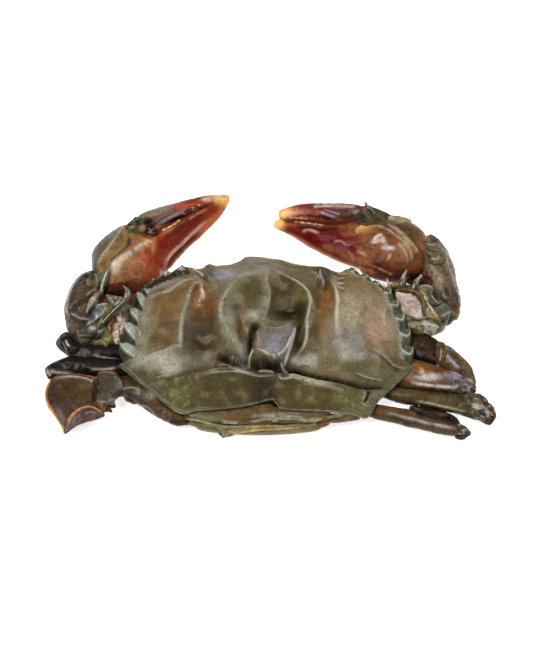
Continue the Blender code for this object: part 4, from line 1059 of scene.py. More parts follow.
right_hand = segment(
    "right_hand_skin", RIGHT_HAND, (140, 88, 52), (170, 104, 62),
    [(line, 0.5, 0.5, 0.45, 1.5) for line in RIGHT_WRINKLES]
    + [
        ([(12, 34.6), (14.6, 35.8), (19, 34.2)], 0.6, 1.0, 0.6, 1.5),
        ([(11, 36.6), (15, 37), (20, 35.7)], 0.8, 0.8, -0.7, 1.6),
        ([(29.5, 34.3), (33, 36.4), (37, 37)], 0.7, 2.0, 0.8, 1.5),
        ([(24, 33.2), (29, 33.4), (32, 35)], 0.9, 0.9, -0.6, 1.6),
        ([(36, 31), (39.5, 32.8), (42.5, 29.5), (41, 27)], 1.2, 1.4, 0.6, 1.6),
        ([(31, 31), (33, 28.5), (36, 27.5)], 1.0, 1.0, -0.4, 1.8),
        ([(20, 31.4), (27, 29.4), (33, 25)], 1.3, 1.3, -0.35, 1.8),
        ([(35, 23.5), (38, 22.4), (41, 20.5)], 0.5, 0.5, -0.5, 1.6),
        ([(36, 43), (41, 39.5), (48, 38.6)], 0.8, 1.2, -0.5, 1.6),
    ],
    [
        (15, 33.5, 11, 4.5, (124, 18, 12), 0.95), (27, 30, 6, 5.5, (132, 40, 22), 0.9),
        # The second patch below is brighter than any paint: painted glow of light through the thin tip,
        # over its pale orange.
        (24, 34, 4, 2, (104, 22, 18), 0.7), (4.4, 37.6, 4.2, 3, (300, 226, 140), 1.0),
        (9, 36.4, 3, 1.8, (222, 104, 54), 0.8), (12.4, 35.6, 3, 1.4, (160, 40, 24), 0.6),
        (33.5, 35.6, 3, 1.5, (186, 128, 74), 0.95), (44, 36.5, 8, 2.4, (84, 60, 34), 0.92),
        (50, 34, 4, 4, (92, 76, 48), 0.85), (44, 27.5, 5, 4, (140, 88, 56), 0.7),
        (37, 26, 4, 4, (126, 64, 42), 0.7), (36.5, 40.5, 2.6, 2.6, (66, 66, 46), 0.9),
        (32.5, 38.8, 1.3, 2.6, (44, 34, 28), 0.9), (40, 23.5, 3, 2, (120, 60, 40), 0.6),
        (46.5, 29, 2.2, 1.8, (190, 156, 122), 0.65), (22.4, 32, 3.6, 2.2, (84, 14, 10), 0.75),
        (45, 36.6, 1.8, 1.2, (88, 58, 34), 0.8),
    ],
    [
        ([(36, 20.5), (43.5, 20), (47.5, 18.6), (52, 16)], 3.6, 6, (88, 42, 28), 0.95),
        ([(8, 35.8), (14, 33), (21, 30.6), (28, 28.6)], 3.2, 3.6, (96, 6, 4), 0.9),
        (
            [(3, 36.6), (6.5, 35.2), (11.5, 32.6), (18.5, 28.2), (27, 24), (36, 21)], 0.4, 1.0,
            (196, 108, 66), 0.8,
        ),
        ([(7, 38.9), (13, 38.4), (20, 37.9), (26, 38), (32, 39)], 1.8, 1.0, (72, 18, 15), 0.92),
        ([(20, 29.4), (28, 26), (35, 23.4)], 1.2, 0.8, (176, 104, 74), 0.6),
        ([(11, 36.6), (15, 36.9), (19, 35.8), (24, 36)], 0.8, (42, 14, 12), 0.9),
        # Painted highlights: glints on the finger's base and on the palm's red, on this line and the next
        # three.
        ([(12.5, 34.7), (14.6, 35.6), (18.6, 34.1)], 0.45, 0.5, (214, 158, 148), 0.9),
        ([(22.5, 31.2), (25, 31.6), (27, 30.4), (29, 30)], 0.3, 0.4, (206, 148, 134), 0.75),
        ([(27.5, 28), (29, 26.6), (30, 24.4)], 0.3, (206, 150, 120), 0.6),
        ([(30.5, 28.2), (32, 27.4), (34.5, 26.4)], 0.4, 0.6, (206, 160, 138), 0.7),
        ([(31, 34.9), (33.5, 36.4), (36, 36.6)], 0.45, 0.9, (226, 176, 104), 0.8),
        # Painted highlights: the jagged white glints on the palm, on this line and the next five.
        ([(36, 31), (37.8, 32.8), (39.6, 33.4)], 0.4, 0.6, (224, 206, 190), 0.95),
        ([(36.4, 30.6), (38.4, 31.2)], 0.8, 0.4, (220, 196, 176), 0.9),
        ([(39.4, 33), (39.8, 31), (41.4, 29), (44, 28.6)], 0.55, 0.6, (226, 208, 194), 0.95),
        ([(37.4, 31.6), (39.4, 30.8), (41, 31.4)], 0.3, (216, 194, 174), 0.8),
        ([(38.8, 29.4), (40.5, 28.6), (43.5, 28.4)], 0.4, 0.5, (220, 200, 182), 0.9),
        ([(40.6, 24.6), (41.6, 26), (42.4, 27)], 0.3, 0.4, (214, 190, 170), 0.85),
        ([(34.6, 43.6), (38.5, 41.6), (42, 40), (46, 39.4), (50.5, 38)], 0.8, 0.6, (176, 170, 116), 0.95),
        ([(35.5, 41.6), (39, 39.5), (44, 38.4)], 0.5, 0.6, (62, 60, 40), 0.8),
        ([(37.5, 22.3), (40.5, 20.8), (43, 19.6)], 0.35, (198, 144, 104), 0.8),
        ([(36, 24), (38.4, 22.6), (41.5, 20.4)], 0.35, (58, 24, 16), 0.8),
        ([(53.5, 24.5), (51.5, 29), (49, 33)], 0.9, (74, 60, 42), 0.6),
    ] + [(line, 0.3, 0.35, (192, 172, 138), 0.85) for line in RIGHT_WRINKLES], claw_glaze, "claw_shell",
    "right_claw_hand", sides=150, rows=190, blunt=(4, 5),
)
right_finger = segment(
    "right_finger_skin", RIGHT_FINGER, (112, 36, 28), (140, 60, 40),
    [
        ([(18, 42.4), (22, 41), (25.5, 40.2)], 0.6, 0.8, 0.6, 1.5),
        ([(20, 43.4), (25, 42.6), (29, 41.4)], 0.7, 0.7, -0.6, 1.6),
        ([(9, 40.4), (15, 40), (20, 39)], 0.6, 0.6, -0.5, 1.6),
        ([(10, 41.8), (15, 41.4), (19, 40.6)], 0.6, 0.6, 0.4, 1.6),
    ],
    [
        (28, 41.2, 6, 2.6, (84, 58, 52), 0.92), (33, 40.6, 2.6, 2.6, (78, 72, 66), 0.9),
        # The second patch below is brighter than any paint: painted glow of light through the thin tip,
        # over its pale orange.
        (10.5, 41.6, 4.6, 2.4, (200, 122, 98), 0.9), (5, 41.6, 3.6, 3, (300, 236, 156), 1.0),
        (31, 42, 1.4, 0.9, (150, 146, 140), 0.7),
    ],
    [
        ([(17, 43.9), (22, 44.3), (30, 43.7)], 0.8, 0.4, (206, 186, 160), 0.85),
        # Painted sheen: lilac streaks on the finger, on this line and the next.
        ([(18.2, 42.3), (21.5, 41), (24.8, 40)], 0.35, 0.5, (202, 176, 182), 0.95),
        ([(19.5, 43), (22.5, 42.2), (26, 41)], 0.3, (190, 160, 164), 0.7),
        ([(19, 41), (22, 39.8), (26, 38.8)], 0.45, 0.4, (64, 22, 20), 0.85),
        ([(12, 40.6), (16.5, 40), (21, 38.8)], 0.35, 0.3, (224, 158, 130), 0.7),
        ([(7, 39.8), (11, 39.6), (15, 38.8)], 0.4, (150, 40, 26), 0.7),
        # Painted sheen: a short lilac streak.
        ([(22, 40.4), (24.5, 39.8), (27, 38.4)], 0.3, (214, 170, 168), 0.7),
    ],
    finger_glaze, "finger_shell", "right_claw_finger", sides=100, rows=140, blunt=(4, 5),
)
left_wrist = segment(
    "left_wrist_skin", LEFT_WRIST, (68, 54, 40), (110, 90, 68),
    [
        ([(-64.5, 4), (-66, 8), (-65.5, 13), (-63, 18)], 0.5, 1.6, 0.6, 1.5),
        ([(-65.5, 7), (-62.5, 9.8), (-59.5, 11.5), (-57, 15)], 0.7, 0.9, -0.9, 1.5),
        ([(-60, 12.3), (-58.2, 14), (-56.5, 15.3)], 0.5, 0.5, 0.6, 1.5),
        ([(-64.8, 7), (-61.5, 5), (-58, 4.4)], 0.5, 1.0, 0.6, 1.5),
        ([(-61.5, 19.5), (-59, 18.3), (-56.5, 18)], 1.0, 1.0, -0.7, 1.8),
        ([(-62.5, 3), (-62, 0.5), (-60.5, -1)], 0.5, 0.8, 0.5, 1.6),
    ],
    [
        (-67, 6, 1.2, 8, (98, 86, 74), 0.6), (-61, 14.5, 3, 3, (92, 74, 54), 0.7),
        (-59, 18.4, 2.4, 1.2, (42, 36, 28), 0.95), (-61, 7.4, 2.4, 2.2, (86, 66, 52), 0.85),
        (-57.5, 10.5, 1.0, 1.8, (208, 176, 162), 0.85), (-62, 2, 2.2, 2, (84, 72, 58), 0.8),
        (-64.5, 2.5, 1.2, 3.2, (96, 82, 72), 0.75), (-57, 14.6, 1.3, 1.0, (132, 112, 82), 0.6),
    ],
    [
        ([(-65.5, 7), (-62.5, 9.8), (-59.5, 11.3), (-57, 14.4)], 0.5, (50, 40, 30), 0.85),
        ([(-64.8, 6.6), (-61.5, 4.9), (-58, 4.4)], 0.35, 0.3, (176, 166, 166), 0.85),
        ([(-60, 12.3), (-58.2, 14), (-56.8, 15.2)], 0.35, (188, 178, 146), 0.85),
        ([(-64.4, 3.4), (-65.9, 8), (-65.3, 13.4), (-63, 18)], 0.3, (160, 154, 140), 0.8),
        ([(-62.8, 1.5), (-61.6, -0.8), (-59.8, -1)], 0.35, (160, 150, 150), 0.7),
        ([(-58.4, 12), (-57.4, 10), (-57.8, 8)], 0.3, (74, 56, 44), 0.8),
    ],
    arm_glaze, "arm_shell", "left_claw_wrist", sides=120, rows=150, slack=(0.5, 0.24),
)
right_wrist = segment("right_wrist_skin", RIGHT_WRIST, (102, 82, 56), (120, 98, 74), [
    ([(54.6, 31.5), (57, 23), (59, 15), (60, 10)], 0.8, 0.8, 0.7, 1.5),
    ([(53.6, 28), (55, 21), (56.8, 14)], 0.6, 0.6, 0.5, 1.5),
    ([(59, 29), (61.5, 20), (64.5, 10)], 0.6, 0.9, 0.6, 1.5),
    ([(58, 25), (60, 17), (62, 11)], 0.9, 0.9, -0.6, 1.7),
    ([(52.5, 24), (53.5, 26.5), (56.5, 27)], 0.7, 0.7, 0.6, 1.5),
    ([(53, 30.5), (55.5, 30), (58, 31.5)], 0.7, 0.7, -0.7, 1.6),
], [
    (63, 12, 2.6, 5, (74, 54, 42), 0.9), (57, 28.4, 2.4, 2, (150, 144, 124), 0.7),
    # The first patch below is a painted glint.
    (58.2, 18, 1.3, 3.6, (176, 158, 132), 0.85), (59.6, 22, 1.6, 3, (122, 100, 70), 0.7),
    (60.8, 26, 1.2, 4.4, (130, 124, 116), 0.7), (60.5, 12, 2.4, 3.4, (62, 48, 38), 0.8),
    (56.4, 21, 1.8, 3, (116, 96, 62), 0.7), (57, 31.5, 2.6, 1.8, (120, 118, 100), 0.7),
    (65, 6.5, 1.2, 1.8, (196, 112, 66), 0.85),
], [
    # Painted highlights: the pale streaks along the wrist, here and on the next four lines; the dark streak
    # after them lies in a groove as painted shade.
    ([(55.4, 24), (57, 20), (58, 17)], 0.6, (190, 170, 140), 0.8),
    ([(58, 16), (59, 13.4), (60.4, 11)], 0.4, (176, 158, 134), 0.6),
    ([(54.6, 31.5), (55, 27), (56.4, 23)], 0.35, (170, 162, 136), 0.8),
    ([(53.6, 27), (55, 20), (56.4, 15)], 0.35, (150, 128, 100), 0.7),
    ([(59.4, 30), (61.6, 21), (63.6, 14)], 0.4, (168, 160, 148), 0.7),
    ([(58.6, 25), (60.6, 17.5), (62.4, 11)], 0.5, (66, 50, 38), 0.75),
], arm_glaze, "arm_shell", "right_claw_wrist", sides=120, rows=150, slack=(0.6, 0.28))
left_arm = segment(
    "left_arm_skin", LEFT_ARM, (92, 90, 62), (150, 132, 96),
    [
        ([(-53.5, -6), (-51.5, -1), (-49, 3.5)], 1.0, 1.0, 0.7, 1.6),
        ([(-49.6, -4), (-48, 1), (-46.5, 5.5)], 0.8, 0.8, 1.0, 1.5),
        ([(-51.6, -1), (-50, 3.5), (-48.3, 6.5)], 0.5, 0.5, -0.8, 1.6),
        ([(-60, 1.5), (-56, 0), (-53, 2)], 0.8, 1.4, 0.7, 1.6),
        ([(-61, -1.5), (-57, -2.4), (-54, -1.5)], 0.6, 0.6, -0.7, 1.6),
    ],
    [
        (-55.4, 1.2, 1.2, 0.8, (214, 208, 186), 0.9),
        (-56.5, -4.6, 4, 1.6, (104, 104, 62), 0.85),
        (-51.5, -1.5, 1.8, 4.5, (132, 126, 62), 0.9), (-48, 1, 1.4, 4, (206, 182, 164), 0.85),
        (-50, 9.4, 2.6, 1.8, (150, 148, 136), 0.9), (-54.5, 7.2, 2.6, 2.2, (112, 116, 116), 0.9),
    ],
    [
        ([(-51, -0.5), (-50, 3.4), (-48.6, 6.4)], 0.6, (150, 88, 38), 0.85),
        ([(-57, 5.5), (-56.5, 8.5), (-53.5, 10), (-51.6, 9), (-52.6, 6)], 0.4, (176, 180, 168), 0.85),
        ([(-60.6, 2.4), (-57.5, 0.8), (-54, 1.4)], 0.4, (140, 146, 122), 0.7),
        ([(-61.5, -2), (-58, -2.8), (-54.5, -2)], 0.5, (40, 42, 30), 0.8),
    ],
    arm_glaze, "arm_shell", "left_claw_arm", sides=120, rows=120, slack=(0.4, 0.2),
)
right_arm = segment("right_arm_skin", RIGHT_ARM, (112, 100, 68), (150, 132, 96), [
    ([(41.5, 14.3), (46.5, 15), (50, 13.6), (51.6, 10.5), (51.4, 6.5)], 0.7, 1.6, 1.0, 1.5),
    ([(44, 13), (47.5, 12.6), (50, 10), (50, 6)], 0.6, 0.6, -0.7, 1.6),
    ([(46, 4.5), (50, 5), (53, 3.6)], 0.6, 0.6, 0.6, 1.5),
    ([(47, 1), (51, 2.8), (55, 2.4)], 0.8, 0.8, 0.5, 1.6),
    ([(48, -1), (52, -1.6), (56, -0.5)], 0.6, 0.6, -0.6, 1.6),
    ([(53, 12), (53.4, 8), (56, 4.6)], 0.6, 0.6, -0.7, 1.6),
], [
    (47, 10, 3, 2.8, (186, 166, 150), 0.92), (48, 7, 2, 1.6, (176, 150, 132), 0.8),
    (54, 13.5, 2, 2, (104, 110, 108), 0.85), (59, 8.5, 2.6, 2.2, (128, 134, 126), 0.85),
    (50, 2, 2.4, 1.4, (196, 188, 158), 0.85), (54.4, 1.8, 2.2, 1.2, (206, 198, 172), 0.85),
    (48, -1, 4, 1.6, (112, 110, 66), 0.85), (45, 4.5, 2, 3, (104, 92, 60), 0.7),
], [
    ([(41.5, 14.6), (46.5, 15.2), (50.2, 13.8), (51.8, 10.5), (51.6, 6.5)], 0.7, 0.9, (148, 92, 48), 0.9),
    ([(42, 12.6), (45.4, 13.4), (48.6, 12)], 0.35, (206, 186, 150), 0.8),
    ([(46, 4.6), (50, 5.2), (53.4, 3.8)], 0.4, (168, 164, 118), 0.8),
    ([(47, 0.4), (50.4, 1.2), (52, 3.4)], 0.35, (92, 88, 52), 0.8),
], arm_glaze, "arm_shell", "right_claw_arm", sides=120, rows=120, slack=(0.4, 0.2))

# The claws' hinges, knuckle plates and the lumpy teeth along their cutting edges.
on_left_hand, on_right_hand = top_of(left_hand), top_of(right_hand)
on_left_finger, on_right_finger = top_of(left_finger), top_of(right_finger)
CLAW_PLATES = [
    ("left_hinge_plate", [
        (-48.6, 36.6), (-47, 39), (-45.4, 40.4), (-43.6, 39.8), (-41.6, 40), (-39.6, 39.4), (-40.8, 37.4),
        (-41.8, 34.6), (-44.6, 34), (-47.4, 35),
    ], 0.8, 0.4, (on_left_hand, on_left_finger), (74, 70, 42), [
        (-42.6, 36.2, 1, 1.2, (168, 132, 80), 0.9), (-44.4, 38, 1, 1, (40, 38, 26), 0.8),
        (-41.2, 38.6, 1, 0.8, (34, 28, 22), 0.8), (-46.6, 37.2, 1.2, 1.2, (104, 100, 60), 0.7),
    ], [
        ([(-47.6, 35.6), (-45.8, 36.6), (-44.6, 36.2)], 0.25, (150, 146, 104), 0.8),
        ([(-45.6, 35.2), (-44.6, 37), (-43.2, 37.6)], 0.25, (30, 26, 20), 0.9),
        ([(-40.6, 39), (-41.4, 37.4), (-40.8, 35.6)], 0.3, (24, 18, 16), 0.9),
    ], (0.25, 0.3)),
    (
        "left_hinge_dark",
        [(-41.8, 37.6), (-40, 37.6), (-37.6, 35.6), (-37, 33.8), (-39, 33), (-41.6, 34.4)], 0.3, 0.2,
        (on_left_hand, on_left_finger), (48, 24, 22), [(-39.8, 34.6, 0.6, 0.5, (186, 158, 152), 0.7)], [
            ([(-41, 36), (-39.6, 35.4), (-38.4, 35.8)], 0.2, (150, 120, 122), 0.8),
            ([(-40.8, 34.6), (-39.2, 34), (-37.6, 34.6)], 0.2, (140, 96, 96), 0.7),
        ], (0.2, 0.25),
    ),
    ("right_knuckle_plate", [
        (31.2, 39.6), (33, 43), (35, 44.2), (38.4, 42.8), (42.4, 41), (41, 38.6), (38, 37.6), (35.6, 36.8),
        (33.4, 36.8), (31.4, 37.6),
    ], 0.7, 0.3, on_right_hand, (76, 70, 44), [
        (33.2, 40.4, 1.4, 1.6, (42, 38, 30), 0.85), (38.8, 40.4, 1.4, 0.9, (108, 98, 58), 0.8),
        (35, 38.4, 1, 0.8, (100, 88, 50), 0.7),
    ], [
        ([(33.6, 43), (34.4, 40.6), (36.6, 38.8)], 0.25, (128, 122, 92), 0.7),
        ([(31.8, 39.4), (33.4, 38.4), (35.4, 38)], 0.3, (30, 26, 22), 0.8),
    ], (0.25, 0.25)),
    ("right_film_plate", [
        (37, 43.6), (40, 42.6), (43.4, 41), (46.6, 40.6), (50, 39), (49.6, 38), (46.6, 38.8), (43, 38.8),
        (40.4, 40), (38.4, 41.6),
    ], 0.2, 0.15, on_right_hand, (150, 138, 90), [(44, 39.6, 2.4, 0.8, (176, 164, 108), 0.8)], [
        ([(39, 42.4), (43, 40.4), (48, 39.4)], 0.25, (196, 186, 138), 0.8),
    ], (0.15, 0.15)),
    ("right_wrist_crumple", [
        (53.8, 27.6), (54.6, 31.2), (55.6, 33.8), (57.6, 33), (60, 30.6), (61.2, 26), (59, 23.4),
        (56.4, 23.2), (54.4, 24.4),
    ], 0.8, 0.4, (on_right_hand, top_of(right_wrist)), (106, 94, 70), [
        (57, 31.4, 1.2, 1, (54, 46, 36), 0.8), (59.4, 28.6, 1, 2, (140, 138, 128), 0.8),
        (55.4, 26.8, 1, 1.2, (128, 112, 84), 0.7),
    ], [
        ([(54.6, 30.6), (56.4, 30), (58.4, 31)], 0.25, 0.3, (168, 166, 152), 0.85),
        ([(54.4, 28.6), (56, 27.4), (58.2, 27.8)], 0.25, (52, 44, 34), 0.85),
        ([(55.4, 25.4), (57, 24.8), (58.6, 25.8)], 0.25, 0.3, (190, 178, 158), 0.8),
        ([(58.4, 29.6), (59.2, 27.4), (58.8, 25.2)], 0.2, (46, 40, 34), 0.7),
    ], (0.6, 0.6)),
]
for name, outline, crown, lift, base, colour, patches, streaks, slack in CLAW_PLATES:
    base = base if isinstance(base, tuple) else (base,)
    work(
        laid_plate(outline, crown, lift, *base), name, colour, [0.8 * c for c in colour], [], [], patches,
        streaks, claw_glaze, "claw_shell", slack=slack,
    )
CUTTING_EDGES = [
    (
        "left_palm_teeth", [(-35.8, 35.2), (-33.8, 36.3), (-31.6, 37.8), (-29.8, 39.3)], (on_left_hand,),
        (220, 156, 96), 4, 0.6,
    ),
    (
        "left_finger_teeth", [(-28.8, 42.4), (-25.4, 43.8), (-21, 45)], (on_left_finger, on_left_hand),
        (120, 52, 44), 4, 0.8,
    ),
    (
        "right_palm_teeth", [(9.6, 38.6), (13, 38.2), (16.6, 37.6), (20, 37)],
        (on_right_hand, on_right_finger), (186, 118, 92), 5, 0.55,
    ),
    (
        "right_finger_teeth", [(8, 40.2), (11, 40), (14.4, 39.6)], (on_right_finger, on_right_hand),
        (214, 130, 108), 4, 0.6,
    ),
]
for name, line, base, colour, lumps, size in CUTTING_EDGES:
    share = np.linspace(0, 1, 6 * lumps + 1)
    drawn = along(line, share)
    uneven = share + 0.05 * np.sin(share * 17)
    lump = np.abs(np.sin(uneven * lumps * math.pi))
    swell = size * (0.45 + 0.55 * lump * (0.65 + 0.35 * np.sin(share * 11)))
    stations = np.concatenate([off_board(drawn, resting(drawn, *base)), swell[:, None], swell[:, None]], 1)
    mesh = limb(stations, 24, 120, (4, 4))[0]
    spots = spots_of(mesh)
    nearest = np.argmin(((board(spots)[:, None, :] - drawn[None, :, :]) ** 2).sum(2), 1)
    out = facing(mesh)
    move_to(mesh, spots + out * (0.25 * crumple(spots, 1.0, 3.0))[:, None])
    skin = np.tile(tint(*colour), (len(spots), 1))
    brush(skin, 0.7 * (1 - ease(lump[nearest] * 2)), (110, 36, 22))
    brush(skin, 0.6 * ease(crumple(spots, 1.2, 6.0) * 2), (248, 222, 176))
    facing(mesh)
    settle(mesh, name, skin, finger_glaze, "finger_shell")

